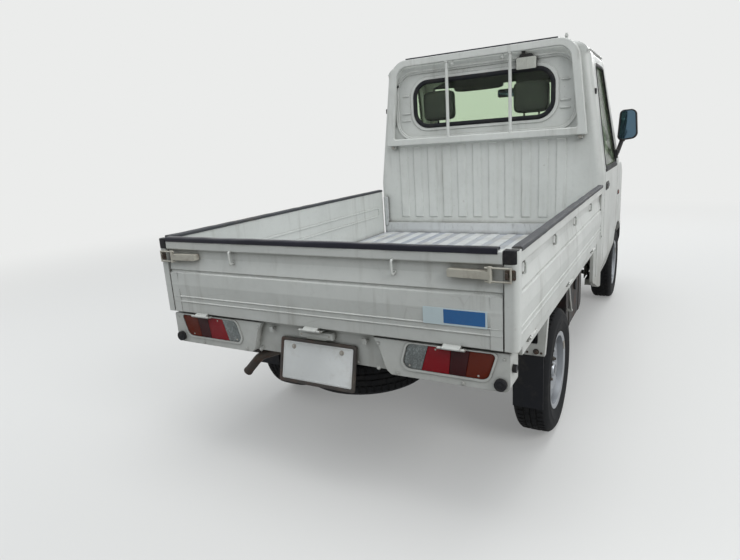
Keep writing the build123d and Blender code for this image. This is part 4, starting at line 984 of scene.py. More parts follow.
# Underside: leaf springs, axle brackets, brake drums, straps and pipes
SPRING_X = 372.5
PIPE_END = (501, 1500, 326)


def leaf_springs():
    """Stacked blades, shackle eyes and the bolts that hold the axle."""
    blades, clamps = Shape(), Shape()
    for sign in (1, -1):
        x = sign * SPRING_X
        for leaf, reach in enumerate((452, 440, 330, 210)):
            rings = []
            for k in range(25):
                off = reach * (-1 + k / 12)
                top = 328.6 + 74 * (off / 450) ** 2 - 7.2 * leaf
                corners = ((x - 26.5, top - 6.6), (x + 26.5, top - 6.6), (x + 26.5, top), (x - 26.5, top))
                rings.append([(u, REAR_AXLE_Y + off, v) for u, v in corners])
            blades.loft(rings)
        for y in (445, 1345):
            blades.turned([(9, -26), (17, -26), (17, 26), (9, 26)], (x, y, 396), RIGHT, 24)
            for end in (-1, 1):
                clamps.box((x + end * 27, x + end * 31), (y - 20, y + 20), (380, 450), 2)
                clamps.bolt((x + end * 31, y, 396), (end, 0, 0), 17, 8)
        for u in (x - 33, x + 33):
            bend = ((852, 352), (852, 262), (870, 236), (895, 228), (920, 236), (938, 262), (938, 352))
            clamps.tube([(u, y, z) for y, z in bend], 5, 10, 4)
            clamps.bolts(((u, 852, 346), (u, 938, 346)), UP, 14, 8)
        clamps.box((x - 42, x + 42), (843, 947), (339, 345), 2)
        clamps.box((x - 30, x + 30), (560, 566), (305, 345))
    blades.piece("leaf_spring_blades", "chassis_black")
    clamps.piece("leaf_spring_clamps", "dark_bolt")


def rear_brakes():
    """Backing plates, fins and pipes of the rear drums, and the differential's cover with its bolts."""
    shape = Shape()
    for _ in shape.both():
        hub = (580, REAR_AXLE_Y, AXLE_Z)
        shape.turned([(40, 0), (106, 0), (108, 3), (108, 9), (104, 11), (40, 11)], hub, RIGHT, 48)
        for x in (610, 618, 626):
            shape.turned([(99, 0), (103.5, 0), (103.5, 4), (99, 4)], (x, REAR_AXLE_Y, AXLE_Z), RIGHT, 48)
        for k in range(4):
            angle = 0.5 + k * math.pi / 2
            place = (580, REAR_AXLE_Y + 62 * math.cos(angle), AXLE_Z + 62 * math.sin(angle))
            shape.bolt(place, (-1, 0, 0), 12, 6)
        shape.box((566, 580), (878, 912), (330, 348), 3)
        shape.tube([(572, 895, 346), (560, 895, 380), (480, 900, 372), (410, 905, 320)], 3.4, 8)
    cover = [(90, -14), (126, -12), (128, -6), (128, 6), (126, 12), (90, 14)]
    shape.turned(cover, (0, REAR_AXLE_Y, AXLE_Z), BACK, 40)
    for k in range(10):
        angle = k * math.pi / 5
        shape.bolt((119 * math.cos(angle), 909, AXLE_Z + 119 * math.sin(angle)), BACK, 11, 6)
    shape.piece("rear_axle_castings", "cast_metal")


def strap(shape, left, right, low, high, y, half, corner):
    """A thin band round a box, 3 mm outside it."""
    outline = rect(left - 3, right + 3, low - 3, high + 3, corner, 3)
    shape.rim(outline, rect(left, right, low, high, 2, 3), y - half, y + half, "xz", 0.6)


def pipes_and_straps():
    """Straps and cap of the tank, the silencer's straps and hangers, brake pipes, bolts of the flaps."""
    straps = Shape()
    for y in (190, 470):
        strap(straps, -680, -425, 330, 541, y, 14, 4)
        straps.bolt((-552, y, 325), (0, 0, -1), 13, 7)
    straps.piece("tank_straps", "chassis_black")
    cap = Shape().turned([(0, 0), (27, 0), (27, 7), (24, 9), (0, 9)], (-681, 330, 505), (-1, 0, 0), 28)
    for k in range(12):
        turn = 2 * math.pi * k / 12
        y, z = 330 + 25 * math.cos(turn), 505 + 25 * math.sin(turn)
        cap.box((-690, -683), (y - 2, y + 2), (z - 2, z + 2), 0.8)
    cap.piece("fuel_cap", "black_rubber")
    straps = Shape()
    for y in (395, 595):
        strap(straps, 120, 270, 310, 430, y, 12, 5)
        straps.bolt((273, y, 420), RIGHT, 10, 6)
    aim = (77, 4, -80)
    straps.turned([(15.2, -6), (20, -6), (20.6, 1), (20.4, 4), (15.2, 4)], PIPE_END, aim, 28)
    straps.piece("silencer_straps", "bare_steel")
    # a thin black disc closes the tail pipe's end: black like soot, and painted shade of the pipe's hollow
    mouth = Shape().turned([(0, 0), (15.4, 0), (15.4, 0.8), (0, 0.8)], PIPE_END, aim, 24)
    mouth.piece("tail_pipe_mouth", "dial_face")
    hangers = Shape()
    for x, y, z in ((306, 1370, 437), (232, 960, 434)):
        hangers.tube([(x, y, z + 20), (x + 7, y, z + 34), (x - 5, y, z + 52), (x + 4, y, z + 72)], 4, 10, 5)
        hangers.turned([(19.4, -7), (24, -7), (24, 7), (19.4, 7)], (x, y, z), (0.17, 1, 0), 24)
    hangers.piece("exhaust_hangers", "black_rubber")
    lines = Shape()
    for x in (-338, -327, -316):
        route = ((-900, 352), (-280, 352), (-30, 484), (500, 486), (860, 486))
        lines.tube([(x, y, z) for y, z in route], 3.2, 8)
    lines.piece("brake_lines", "dark_bolt")
    bolts = Shape()
    for _ in bolts.both():
        bolts.bolt((679, 1191, 457), BACK, 12, 6)
        bolts.bolts([(x, 1187, 452) for x in (612, 646, 698)], BACK, 9, 4)
    bolts.piece("flap_bolts", "dark_bolt")


leaf_springs()
rear_brakes()
pipes_and_straps()


# Cab outside
def side_x(z):
    """The cab's half width at a height."""
    return 730 - 0.13235 * max(0, z - 1000)


def screen_y(x, z):
    """Where the windscreen's outer face is."""
    setback = 2600 - math.sqrt(2600**2 - x**2)
    along = (z - 1022 + setback * 0.5413) / 0.8408
    return -1395 + along * 0.5413 + setback * 0.8408


SCREEN_OUT = (0, -0.841, 0.541)
DOOR_WINDOW = rounded(((-1080, 1035, 20), (-808, 1640, 40), (-462, 1640, 40), (-452, 1035, 30)), 7)
DOOR_SEAL = rounded(((-9, -5, 1), (8, -5, 1), (8, 2.4, 2), (-2, 3.4, 2), (-9, 1, 1)), 3)


def door_details(side, sign):
    """Window seal, belt moulding, handle with its lock and the inner trim of one door."""
    body = f"door_{side}"
    seal = Shape()
    seal.sweep(DOOR_SEAL, [(sign * side_x(v), u, v) for u, v in DOOR_WINDOW], (sign, 0, 0.132), True)
    seal.piece(f"door_window_seal_{side}", "black_rubber", body)
    belt = Shape()
    strip = rounded(((-9, -2, 1), (9, -2, 1), (9, 3.4, 2), (-9, 5, 2)), 3)
    belt.sweep(strip, [(sign * side_x(1024), y, 1022) for y in (-1078, -900, -700, -440)], (sign, 0, 0))
    belt.piece(f"belt_moulding_{side}", "black_rubber", body)
    handle = Shape()
    outline = rect(-586, -446, 902, 950, 12, 5)
    hole = rect(-578, -470, 910, 942, 8, 5)
    handle.rim(outline, hole, sign * 728.5, sign * 733.5, "yz", 1.2)
    grip = rounded(((-576, 914, 6), (-472, 914, 6), (-472, 938, 10), (-576, 938, 10)), 5)
    handle.slab(grip, sign * 729, sign * 738, "yz", 3)
    handle.turned([(0, 0), (8, 0), (8, 5.5), (6.6, 6.5), (0, 6.5)], (sign * 729, -457, 926),
                  (sign, 0, 0), 22)
    handle.piece(f"door_handle_{side}", "dark_plastic", body)
    lock = Shape()
    lock.turned([(0, 6), (4.2, 6), (4.2, 7.2), (0, 7.2)], (sign * 729, -457, 926), (sign, 0, 0), 18)
    lock.box((sign * 735.9, sign * 736.8), (-457.7, -456.3), (922.8, 929.2), 0.3)
    lock.piece(f"door_lock_{side}", "zinc", body)
    trim = Shape()
    outline = rounded(((-1118, 440, 30), (-1118, 1000, 40), (-452, 1000, 20), (-452, 440, 30)), 6)
    trim.slab(outline, sign * 694, sign * 700, "yz", 2)
    pocket = rect(-1060, -660, 470, 610, 20, 6)
    trim.slab(pocket, sign * 664, sign * 698, "yz", 8, 3)
    trim.box((sign * 640, sign * 698), (-860, -560), (770, 806), 12, 3)
    trim.turned([(0, 0), (34, 0), (36, 5), (34, 9), (0, 9)], (sign * 694, -980, 880), (-sign, 0, 0), 30)
    trim.tube([(sign * 684, -980, 880), (sign * 676, -950, 840), (sign * 672, -925, 812)], 7, 12, 5)
    trim.turned([(0, 0), (13, 0), (15, 10), (12, 26), (0, 28)], (sign * 674, -922, 808), (-sign, 0, 0), 20)
    trim.piece(f"door_trim_{side}", "interior_grey", body)
    latch = Shape()
    latch.box((sign * 676, sign * 694), (-700, -610), (862, 900), 5, 3)
    latch.box((sign * 668, sign * 680), (-690, -640), (872, 892), 4)
    latch.piece(f"door_pull_{side}", "dark_plastic", body)


def side_details(side, sign):
    """Repeater, quarter plug, drip rail and mirror glass of one side."""
    repeater = Shape()
    outline = rect(-1262, -1200, 800, 826, 12, 6)
    repeater.slab(outline, sign * 728, sign * 738, "yz", 4, 3)
    repeater.piece(f"repeater_{side}", "lamp_amber")
    base = Shape()
    outline = rect(-1266, -1196, 796, 830, 14, 6)
    base.slab(outline, sign * 727, sign * 731.5, "yz", 1.2)
    base.piece(f"repeater_base_{side}", "black_rubber")
    plug = Shape()
    plug.dome(hit(f"cab_side_{side}", (sign * 900, -200, 590), (-sign, 0, 0)) - Vector((sign * 0.6, 0, 0)),
              (sign, 0, 0), 13, 3.4)
    plug.piece(f"quarter_plug_{side}", "black_rubber")
    rail = Shape()
    profile = rounded(((-4, -3, 1), (5, -3, 1), (8, 4, 2), (5, 5, 1), (3, 0, 1), (-4, 0, 1)), 3)
    path = [hit("cab_roof", (sign * 900, y, 1706), (-sign, 0, 0)) for y in range(-900, -290, 12)]
    rail.sweep([(u * sign, v) for u, v in profile], path, (0, 0, 1))
    rail.piece(f"drip_rail_{side}", "white_paint")
    face = Shape()
    outline = rounded([(sign * x, z, r) for x, z, r in
                       ((744, 1377, 24), (830, 1380, 30), (842, 1201, 32), (733, 1188, 24))], 7)
    face.slab(outline, -1077, -1074.6, "xz", 0.8)
    face.piece(f"mirror_glass_{side}", "mirror_face", f"door_{side}")
    lip = Shape()
    outer = rounded([(sign * x, z, r) for x, z, r in
                     ((737, 1382, 28), (836, 1386, 36), (849, 1194, 38), (725, 1181, 28))], 7)
    lip.rim(outer, outline, -1078, -1070.5, "xz", 2)
    lip.piece(f"mirror_lip_{side}", "dark_plastic", f"door_{side}")
    joint = Shape()
    joint.turned([(13, -9), (18, -9), (19.5, -4), (19.5, 4), (18, 9), (13, 9)],
                 (sign * 754, -1105, 1187), (sign * 0.3, -0.2, 0.93), 24)
    joint.bolt((sign * 731, -1082, 1090), (sign, 0, 0), 10, 4)
    joint.piece(f"mirror_joint_{side}", "dark_plastic", f"door_{side}")


for side, sign in SIDES:
    door_details(side, sign)
    side_details(side, sign)


def screen_details():
    """Windscreen seal, a dark band behind the glass's top that is painted shade under the roof, wipers, the
    slotted cowl under the glass and the washer jets.
    """
    outline = rounded(((-640, 1062, 60), (-560, 1690, 70), (560, 1690, 70), (640, 1062, 60)), 9)
    dense = []
    for i, (u, v) in enumerate(outline):
        a, b = Vector(outline[i - 1]), Vector((u, v))
        parts = max(1, int((b - a).length / 40))
        dense += [tuple(a.lerp(b, (k + 1) / parts)) for k in range(parts)]
    seal = Shape()
    profile = rounded(((-11, -6, 2), (12, -6, 2), (12, 1.5, 2), (2, 5, 2), (-11, 2, 2)), 3)
    seal.sweep(profile, [(u, screen_y(u, v), v) for u, v in dense], SCREEN_OUT, True)
    seal.piece("windscreen_seal", "black_rubber")
    # painted shade: a dark sheet behind the windscreen's top stands for the shade under the roof
    band = Shape()
    rings = []
    for k in range(23):
        x = -550 + k * 50
        section = ((1640, 15), (1700, 15), (1700, 18), (1640, 18))
        rings.append([(x, screen_y(x, z) + off, z) for z, off in section])
    band.loft(rings)
    band.piece("windscreen_shade", "headliner")

    arms = Shape()
    blades = Shape()
    for start_x, end_x in ((470.0, 20.0), (0.0, -450.0)):
        arms.turned([(0, -30), (8, -30), (8, -4), (15, -2), (15, 6), (10, 10), (0, 11)],
                    (start_x, -1420, 1040), (0, -0.5, 0.86), 22)
        path = []
        for share in (0.0, 0.04, 0.14, 0.3, 0.5, 0.62):
            x = start_x + (end_x - start_x) * share
            z = 1047 + 34 * min(1, share * 4) + 6 * share
            path.append((x, min(-1418 + 400 * share, screen_y(x, z) - 16), z))
        flat = rect(-6, 6, -2.5, 2.5, 2, 3)
        arms.sweep(flat, curve(path, 5), SCREEN_OUT)
        middle = start_x + (end_x - start_x) * 0.62
        for offset in (-150, -60, 60, 150):
            x = middle + offset
            z = 1084 - 0.02 * offset
            arms.box((x - 9, x + 9), (screen_y(x, z) - 12, screen_y(x, z) - 5), (z - 4, z + 4), 1.5)
        spine = [(middle + o, screen_y(middle + o, 1084) - 13, 1084 - 0.02 * o)
                 for o in range(-155, 156, 31)]
        arms.sweep(rect(-4, 4, -2, 2, 1, 3), spine, SCREEN_OUT)
        edge = [(middle + o, screen_y(middle + o, 1084) - 3.4, 1084 - 0.02 * o)
                for o in range(-225, 226, 25)]
        blades.sweep(rounded(((-4.5, 0, 1), (4.5, 0, 1), (1.2, -3.2, 0.4), (-1.2, -3.2, 0.4)), 2), edge,
                     SCREEN_OUT)
    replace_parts(arms.piece("wiper_arms", "dark_plastic"), "wipers")
    blades.piece("wiper_blades", "black_rubber")

    cowl = Shape()
    rings = []
    for k in range(49):
        x = -600 + k * 25
        foot = screen_y(x, 1040)
        points = []
        for ahead in (6, 18, 30, 42):
            points.append(hit("front_panel", (x, foot - ahead, 1300), (0, 0, -1)) + Vector((0, 0, 2)))
        rings.append(points + [p - Vector((0, 0, 3)) for p in reversed(points)])
    cowl.loft(rings)
    for k in range(40):
        x = -560 + k * 28.7
        if abs(x - 470) > 30 and abs(x) > 30:
            foot = screen_y(x, 1040)
            a = hit("front_panel", (x, foot - 12, 1300), (0, 0, -1)) + Vector((0, 0, 2.4))
            b = hit("front_panel", (x, foot - 36, 1300), (0, 0, -1)) + Vector((0, 0, 2.4))
            cowl.tube([a, b], 3.2, 8, 0)
    cowl.piece("cowl_grille", "dark_plastic")
    jets = Shape()
    for x in (-210, 210):
        place = hit("hood", (x, -1460, 1300), (0, 0, -1))
        jets.dome(place - Vector((0, 0, 1)), (0, -0.1, 1), 9, 7, 20, 4)
    jets.piece("washer_jets", "dark_plastic", "hood")


screen_details()


HEADLAMP = ((470, 652, 25), (655, 640, 50), (712, 700, 20), (716, 842, 20), (560, 806, 60))


def lamp_grid(sign, depth, grow, thick):
    """A sheet that follows the headlamp's own face, thick inward, in rows across its outline."""
    outline = rounded(HEADLAMP, 8)
    middle = Vector((612, 735))
    shape = Shape()
    rows = []
    for share in (1.0, 0.97, 0.9, 0.8, 0.66, 0.5, 0.34, 0.18, 0.04):
        row = []
        for u, v in outline:
            place = middle.lerp(Vector((u, v)), share * grow)
            front = hit("headlamps", (sign * place.x, -1900, place.y), (0, 1, 0))
            row.append(front + Vector((0, depth, 0)))
        rows.append(row)
    inner = [[p + Vector((0, thick, 0)) for p in row] for row in rows]
    shape.loft(list(reversed(rows)) + inner)
    return shape


def headlamp_details():
    """Each lamp: a clear cover over a bright housing, two bowls and their bulbs."""
    for side, sign in SIDES:
        cover = lamp_grid(sign, 0.2, 0.965, 3.2).piece(f"headlamp_cover_{side}", "lamp_clear", "truck", 60)
        if sign > 0:
            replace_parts(cover, "headlamps")
        lamp_grid(sign, 34, 0.95, 4).piece(f"headlamp_housing_{side}", "reflector", "truck", 40)
        bowls = Shape()
        bulbs = Shape()
        for x, z, radius, ahead in ((560, 728, 48, 0), (655, 752, 36, 22)):
            y = -1598 + ahead
            profile = [(radius, 0), (radius + 2.5, -2), (radius + 2.5, 2)]
            steps = 7
            for k in range(steps + 1):
                share = k / steps
                profile.append((10 + (radius - 8) * (1 - share), 4 + 26 * math.sin(share * math.pi / 2)))
            for k in range(steps, -1, -1):
                share = k / steps
                profile.append((8 + (radius - 8) * (1 - share), 1 + 26 * math.sin(share * math.pi / 2)))
            bowls.turned(profile, (sign * x, y, z), (0, 1, 0), 36)
            bulbs.turned([(0, 0), (5, 2), (6, 8), (5, 18), (9, 19), (9, 30), (0, 30)], (sign * x, y + 4, z),
                         (0, 1, 0), 20)
        bowls.piece(f"headlamp_bowls_{side}", "reflector")
        bulbs.piece(f"headlamp_bulbs_{side}", "lamp_frosted")


headlamp_details()


def front_details():
    """Bumper slot fins, bumper screws and a tow eye."""
    fins = Shape()
    for z in (398, 412, 426):
        fins.box((-326, 326), (-1640, -1618), (z - 2, z + 2), 1.2)
    for x in (-160, 0, 160):
        fins.box((x - 3, x + 3), (-1636, -1616), (388, 438), 1.2)
    fins.piece("bumper_fins", "dark_plastic")
    screws = Shape()
    for sign in (1, -1):
        for x, z in ((420, 530), (610, 530)):
            place = hit("front_bumper", (sign * x, -1900, z), (0, 1, 0))
            screws.dome(place + Vector((0, 0.4, 0)), (0, -1, 0), 6, 2, 18, 3)
    screws.piece("bumper_screws", "black_rubber")
    hook = Shape()
    hook.tube([(-240, -1560, 352), (-240, -1600, 338), (-222, -1622, 336), (-240, -1640, 336),
               (-258, -1622, 336), (-240, -1600, 338)], 6, 12, 8)
    hook.piece("tow_eye", "dark_bolt")


front_details()


# Seats: crowned pads with sewn channels, modelled
def pad(name, place, half, mat, channels, across=(), crown=10, depth=7):
    """A stuffed pad. place takes (u along the pad, v across it, w out of its face) to the row frame.

    half gives the half sizes along u, v and w. channels and across are the seams' places along u and v,
    from -1 to 1.
    """
    shape = Shape()
    rings = []
    rows, sides = 46, 64
    for i in range(rows + 1):
        u = -math.cos(math.pi * i / rows)
        u = math.copysign(abs(u) ** 0.75, u)
        taper = max(0.02, 1 - abs(u) ** 7) ** (1 / 4.5)
        points = []
        for k in range(sides):
            turn = 2 * math.pi * k / sides
            v = math.copysign(abs(math.cos(turn)) ** 0.42, math.cos(turn)) * taper
            w = math.copysign(abs(math.sin(turn)) ** 0.5, math.sin(turn)) * taper
            out = half[2] * w
            if w > 0.2:
                out += crown * (1 - u * u) * (1 - v * v)
                for seam in channels:
                    out -= depth * math.exp(-(((u - seam) * half[0] / 7) ** 2))
                for seam in across:
                    out -= depth * math.exp(-(((v - seam) * half[1] / 7) ** 2))
                out += 1.6 * noise.noise(Vector((u * 3, v * 3, len(name))))
            points.append(place(u * half[0], v * half[1], out))
        rings.append(points)
    shape.loft(rings)
    obj = shape.piece(name, mat, "truck", 70)
    return obj


SEAT_X = 300


def seat(side, sign):
    """One seat with its headrest, rails, lever and belt."""
    x = sign * SEAT_X

    def on_cushion(u, v, w):
        return (x + v, -648 + u, 739 - u * 0.05 + w)

    def on_back(u, v, w):
        thick = 1.25 - 0.5 * (u + 300) / 600
        return (x + v * (1 - 0.00012 * (u + 300)), -394 + u * 0.068 - w * thick, 1072 + u)

    def on_rest(u, v, w):
        return (x + v, -361 - w + u * 0.05, 1485 + u)

    cushion = pad(f"seat_cushion_{side}", on_cushion, (208, 228, 50), "seat_vinyl", (-0.5, -0.1, 0.3),
                  (-0.66, 0.66))
    pad(f"seat_back_{side}", on_back, (298, 222, 44), "seat_vinyl", (-0.55, -0.2, 0.15, 0.5),
        (-0.64, 0.64))
    pad(f"headrest_{side}", on_rest, (93, 107, 31), "seat_vinyl", (0.0,), (), 5, 4)
    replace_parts(cushion, f"seat_{side}")
    posts = Shape()
    for offset in (-45, 45):
        posts.tube([(x + offset, -374, 1340), (x + offset, -368, 1375), (x + offset, -363, 1410)], 6, 12, 3)
        posts.turned([(6, 0), (14, 0), (14, 5), (11, 8), (6, 8)], (x + offset, -372, 1361), (0, 0.1, 1), 20)
    posts.piece(f"headrest_posts_{side}", "zinc")
    base = Shape()
    for offset in (-170, 170):
        base.box((x + offset - 18, x + offset + 18), (-850, -450), (671, 692), 3)
    base.tube([(x - 150, -858, 700), (x, -872, 694), (x + 150, -858, 700)], 7, 12, 6)
    base.piece(f"seat_rails_{side}", "dark_bolt")
    lever = Shape()
    lever.tube([(x + sign * a, b, c) for a, b, c in ((236, -470, 760), (241, -500, 780), (241, -560, 790))],
               7, 12, 5)
    lever.turned([(0, -6), (26, -6), (28, 0), (26, 6), (0, 6)], (x + sign * 234, -468, 760), (1, 0, 0), 26)
    lever.piece(f"seat_lever_{side}", "dark_plastic")
    belt = Shape()
    places = ((655, -318, 1470), (640, -322, 1440), (600, -345, 1120), (566, -380, 820), (552, -420, 700))
    path = curve([(sign * a, b, c) for a, b, c in places], 6)
    flat = rect(-23, 23, -0.8, 0.8, 0.4, 2)
    belt.sweep(flat, path, (sign * 0.2, 1, 0))
    belt.piece(f"belt_{side}", "webbing")
    guide = Shape()
    guide.box((sign * 634, sign * 676), (-330, -314), (1462, 1494), 5, 3)
    guide.box((sign * 530, sign * 574), (-440, -402), (676, 706), 5, 3)
    guide.box((sign * 46, sign * 74), (-470, -450), (700, 812), 5, 3)
    guide.piece(f"belt_guides_{side}", "dark_plastic")


for side, sign in SIDES:
    seat(side, sign)


# Steering wheel, column, dials and switches
SPOKE = ((-1, -4), (-0.8, -10.6), (0.8, -10.6), (1, -4), (1, 6), (0.7, 10.8), (-0.7, 10.8), (-1, 6))
COLUMN_TOP = Vector((-330, -1066, 950))
NEEDLE = math.radians(205)
COLUMN_DIR = Vector((0, math.cos(math.radians(60)), math.sin(math.radians(60))))


def driver_place():
    """The steering wheel's boss and spokes, its column, stalks and dials."""
    hub = COLUMN_TOP + COLUMN_DIR * 22
    boss = Shape()
    boss.turned([(0, -6), (60, -6), (66, 2), (62, 16), (44, 25), (20, 28), (0, 28.5)], hub, COLUMN_DIR, 40)
    boss.turned([(26, 26.6), (30, 26.2), (30.6, 27.8), (27, 28.2)], hub, COLUMN_DIR, 36)
    boss.piece("wheel_boss", "dark_plastic", "steering_wheel")
    spokes = Shape()
    right = Vector((1, 0, 0))
    up = COLUMN_DIR.cross(right)
    for angle in (200, 340, 90):
        turn = math.radians(angle)
        out = right * math.cos(turn) + up * math.sin(turn)
        side = COLUMN_DIR.cross(out)
        rings = []
        for reach, width in ((52, 19), (90, 14), (130, 13), (171, 18)):
            centre = hub + out * reach
            rings.append([centre + side * a * width + COLUMN_DIR * b for a, b in SPOKE])
        spokes.loft(rings)
    spokes.piece("wheel_spokes", "dark_plastic", "steering_wheel")
    cowl = Shape()
    low = COLUMN_TOP - COLUMN_DIR * 12
    rings = []
    for reach, wide, tall in ((0, 44, 40), (6, 54, 50), (80, 58, 54), (170, 50, 50)):
        centre = low - COLUMN_DIR * reach
        rings.append([centre + right * a + up * b for a, b in ring(wide, 28, tall)])
    cowl.loft(rings)
    cowl.piece("column_cowl", "dark_plastic")
    stalks = Shape()
    for sign in (1, -1):
        start = low - COLUMN_DIR * 30 + right * sign * 44
        end = start + right * sign * 120 + COLUMN_DIR * 16
        stalks.tube([start, start.lerp(end, 0.5) + COLUMN_DIR * 5, end], 5.5, 12, 6)
        stalks.turned([(0, -14), (8, -14), (9.5, -8), (9.5, 12), (7, 15), (0, 15)], end, right * sign, 20)
    stalks.piece("column_stalks", "dark_plastic")

    face = Shape()
    outline = rounded(((-476, 968, 14), (-184, 968, 14), (-206, 1046, 22), (-454, 1046, 22)), 6)
    face.slab(outline, -1236, -1232, "xz", 1)
    face.piece("dial_panel", "dial_face")
    marks = Shape()
    needles = Shape()
    for x, radius in ((-385, 33), (-290, 33), (-232, 17), (-440, 15)):
        z = 1007
        centre = (x, -1232.4, z)
        section = [(radius, 0), (radius + 1.6, 0), (radius + 1.6, 1.6), (radius, 1.6)]
        marks.turned(section, centre, (0, 1, 0), 40)
        for k in range(13 if radius > 20 else 7):
            angle = math.radians(-40 + k * (260 / (12 if radius > 20 else 6)))
            a = Vector((x + radius * 0.8 * math.cos(angle), -1231.8, z + radius * 0.8 * math.sin(angle)))
            b = Vector((x + radius * 0.94 * math.cos(angle), -1231.8, z + radius * 0.94 * math.sin(angle)))
            marks.tube([a, b], 0.6, 6, 0)
        tip = (x + radius * 0.75 * math.cos(NEEDLE), -1230.6, z + radius * 0.75 * math.sin(NEEDLE))
        needles.tube([(x, -1230.6, z), tip], 0.9, 6, 0)
        needles.dome((x, -1232.2, z), (0, 1, 0), 3.6, 2.4, 16, 3)
    marks.piece("dial_marks", "marks_white")
    needles.piece("dial_needles", "marks_red")


driver_place()


def dashboard_details():
    """Vents, console, glove lid, pedals, levers and floor mats."""
    vents = Shape()
    for x in (-560, -70, 70, 560):
        y = hit("dashboard", (x, -900, 905), (0, -1, 0)).y
        outer = rect(x - 56, x + 56, 878, 932, 8, 4)
        inner = rect(x - 50, x + 50, 884, 926, 5, 4)
        vents.rim(outer, inner, y - 2, y + 7, "xz", 1.5)
        for z in range(888, 926, 7):
            vents.box((x - 51, x + 51), (y + 0.5, y + 6), (z - 1, z + 1), 0.5)
        for u in (-16, 16):
            vents.box((x + u - 1, x + u + 1), (y - 1, y + 5), (884, 926), 0.5)
    vents.piece("dash_vents", "dark_plastic")
    panel = Shape()
    y = hit("dashboard", (0, -900, 840), (0, -1, 0)).y
    panel.slab(rect(-120, 120, 806, 870, 8, 4), y - 2, y + 5, "xz", 1.5)
    panel.slab(rect(-98, 98, 812, 834, 4, 3), y + 4, y + 8, "xz", 1)
    for k in range(3):
        section = [(0, 0), (13, 0), (14, 3), (11.5, 14), (0, 15)]
        panel.turned(section, (-62 + 62 * k, y + 4, 852), (0, 1, 0), 22)
        panel.box((-62.8 + 62 * k, -61.2 + 62 * k), (y + 18, y + 20.5), (852, 863), 0.4)
    for k in range(6):
        panel.box((-80 + 28 * k, -62 + 28 * k), (y + 7, y + 10.5), (818, 828), 1)
    panel.piece("dash_console", "dark_plastic")
    lid = Shape()
    y = hit("dashboard", (390, -900, 850), (0, -1, 0)).y
    outer = rect(200, 600, 806, 868, 14, 5)
    lid.slab(outer, y - 2, y + 4, "xz", 2)
    lid.box((372, 428), (y + 3, y + 12), (848, 860), 3, 3)
    lid.box((-600, -180), (y - 60, y - 12), (726, 740), 5, 3)
    lid.piece("glove_lid", "interior_grey")
    pedals = Shape()
    for x, z, wide in ((-420, 560, 26), (-330, 560, 30), (-245, 545, 20)):
        pedals.box((x - wide, x + wide), (-1352, -1340), (z - 24, z + 24), 4, 3)
        pedals.tube([(x, -1350, z + 4), (x, -1380, z + 70), (x, -1400, z + 150)], 6, 10, 5)
        for k in range(4):
            pedals.box((x - wide + 4, x + wide - 4), (-1341, -1337), (z - 17 + 11 * k, z - 13 + 11 * k), 1)
    pedals.piece("pedals", "dark_bolt")
    lever = Shape()
    section = [(0, 0), (58, 0), (50, 12), (40, 22), (34, 40), (24, 52), (12, 74), (0, 76)]
    lever.turned(section, (-70, -1120, 433), (0, 0.1, 1), 32)
    lever.tube([(-70, -1112, 500), (-72, -1090, 570), (-74, -1050, 640), (-74, -1030, 676)], 6, 12, 6)
    lever.dome((-74, -1030, 668), (0, 0.2, 1), 20, 34, 28, 8)
    lever.tube([(10, -930, 500), (10, -860, 640), (10, -820, 742), (10, -690, 778)], 11, 14, 6)
    lever.box((-14, 34), (-1000, -900), (430, 500), 8, 3)
    lever.piece("gear_and_brake_levers", "dark_plastic")
    mat = Shape()
    for sign in (1, -1):
        outline = rounded(((sign * 90, -1370, 30), (sign * 380, -1370, 60), (sign * 400, -900, 30),
                           (sign * 90, -900, 30)), 6)
        mat.slab(outline, 432.5, 441, "xy", 2)
        for k in range(12):
            y = -1330 + 34 * k
            mat.box((sign * 110, sign * 370), (y, y + 12), (440, 443.6), 1.2)
    mat.piece("floor_mats", "floor_mat")


dashboard_details()


def cab_top():
    """Sun visors, room mirror, lamp and the headliner."""
    for side, sign in SIDES:
        def on_visor(u, v, w):
            return (sign * 235 + v, -978 + u * 0.54 + w * 0.84 + 4, 1655 + u * 0.84 - w * 0.54)

        pad(f"sun_visor_{side}", on_visor, (52, 190, 8), "headliner", (), (), 2, 0)
    mirror = Shape()
    outline = rect(-92, 80, 1537, 1595, 14, 5)
    mirror.slab(outline, -972, -954, "xz", 6, 3)
    mirror.tube([(-6, -968, 1580), (-6, -985, 1612), (-6, -975, 1650)], 7, 12, 5)
    mirror.piece("room_mirror", "dark_plastic")
    glass_face = Shape()
    outline = rect(-87, 75, 1542, 1590, 10, 5)
    glass_face.slab(outline, -956, -953, "xz", 1)
    glass_face.piece("room_mirror_glass", "mirror_face")
    lining = Shape()
    rings = []
    for k in range(13):
        x = -540 + 90 * k
        sag = 14 * (x / 540) ** 4
        rings.append([(x, -890, 1748 - sag), (x, -600, 1756 - sag), (x, -330, 1750 - sag),
                      (x, -330, 1745 - sag), (x, -600, 1750 - sag), (x, -890, 1743 - sag)])
    lining.loft(rings)
    lining.piece("headliner", "headliner")
    lamp = Shape()
    lamp.box((-45, 45), (-640, -580), (1738, 1752), 5, 3)
    lamp.piece("dome_lamp", "lamp_frosted")


cab_top()


def seat_base_covers():
    """A pressed cover closes each side of the seat base, with a bolted service lid."""
    for side, sign in SIDES:
        cover = Shape()
        outline = rounded(((-834, 372, 6), (-322, 372, 6), (-322, 668, 6), (-828, 668, 6)), 3)
        cover.slab(outline, sign * 634, sign * 638, "yz", 1)
        for z in (404, 634):
            cover.box((sign * 636, sign * 641), (-806, -350), (z - 5, z + 5), 2.4, 3)
        lid = rect(-740, -420, 430, 606, 26, 6)
        cover.slab(lid, sign * 636, sign * 642.5, "yz", 2.2, 3)
        cover.piece(f"seat_base_cover_{side}", "white_paint")
        bolts = Shape()
        for y, z in ((-716, 454), (-444, 454), (-444, 582), (-716, 582)):
            bolts.bolt((sign * 642, y, z), (sign, 0, 0), 10, 3.5)
        bolts.piece(f"seat_base_bolts_{side}", "zinc")


seat_base_covers()


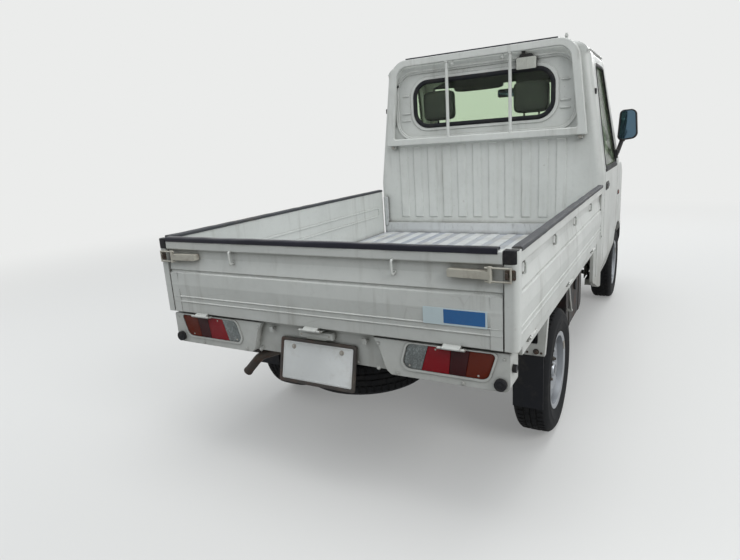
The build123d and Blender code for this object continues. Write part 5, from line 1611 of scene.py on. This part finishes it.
# Stage and light
PALE = (235, 236, 235)
FLOOR_REACH = 40
LAMPS = (
    # name, place, aimed at, watts, size in metres
    ("top", (-0.8, 1.2, 9.0), (0, 0.3, 0.5), 290, 6.0),
    ("key", (-5.0, 3.0, 4.0), (0, 0.4, 0.8), 155, 3.5),
    ("fill", (4.6, 2.8, 3.6), (0, 0.2, 0.8), 60, 3.5),
    ("front", (-1.0, -6.0, 4.0), (0, -1.0, 0.8), 120, 3.5),
)


def seen_rays(n):
    """1 for rays from the camera and for those seen in metal or through glass."""
    rays = n.new("LightPath").outputs
    return n.either(n.either(rays["Is Camera Ray"], rays["Is Glossy Ray"]), rays["Is Transmission Ray"])


def make_floor():
    """A pale floor that keeps the shadow near the truck and runs out into the background."""
    data = bpy.data.meshes.new("floor")
    corners = [(x * FLOOR_REACH, y * FLOOR_REACH, 0) for x, y in ((-1, -1), (1, -1), (1, 1), (-1, 1))]
    data.from_pydata(corners, [], [(0, 1, 2, 3)])
    floor = bpy.data.objects.new("floor", data)
    scene.collection.objects.link(floor)
    n = Nodes(bpy.data.materials.new("floor"))
    seen = seen_rays(n)
    give(floor, n.finish(n.mix(seen, (122, 121, 118), (208, 208, 206)), 0.9))
    reach = n.get("VectorMath", {0: n.place}, "Value", operation="LENGTH")
    share = n.times(seen, n.ramp(reach, 2.6, 8.0, 0.25, 1.0))
    glow = n.get("Emission", {"Color": PALE})
    n.blend(share, n.tree.nodes["Principled BSDF"].outputs[0], glow, "Material Output")
    return floor


def make_world():
    """Soft light that is strongest from above; the pale background shows only to seen rays."""
    scene.world = bpy.data.worlds.new("world")
    n = Nodes(scene.world, "Generated")
    strength = n.ramp(n.along(2), 0.0, 0.9, 0.2, 0.85)
    sky = n.get("Background", {"Color": (232, 237, 242), "Strength": strength})
    back = n.get("Background", {"Color": PALE})
    n.blend(seen_rays(n), sky, back, "World Output")


def make_stage():
    """The floor, the world and four soft lamps."""
    stage = [make_floor()]
    make_world()
    for name, place, aim, watts, size in LAMPS:
        data = bpy.data.lights.new(name, "AREA")
        data.shape = "DISK"
        data.size = size
        data.energy = watts
        lamp = bpy.data.objects.new(name, data)
        scene.collection.objects.link(lamp)
        lamp.location = place
        lamp.rotation_mode = "QUATERNION"
        lamp.rotation_quaternion = (Vector(aim) - Vector(place)).to_track_quat("-Z", "Y")
        stage.append(lamp)


make_stage()
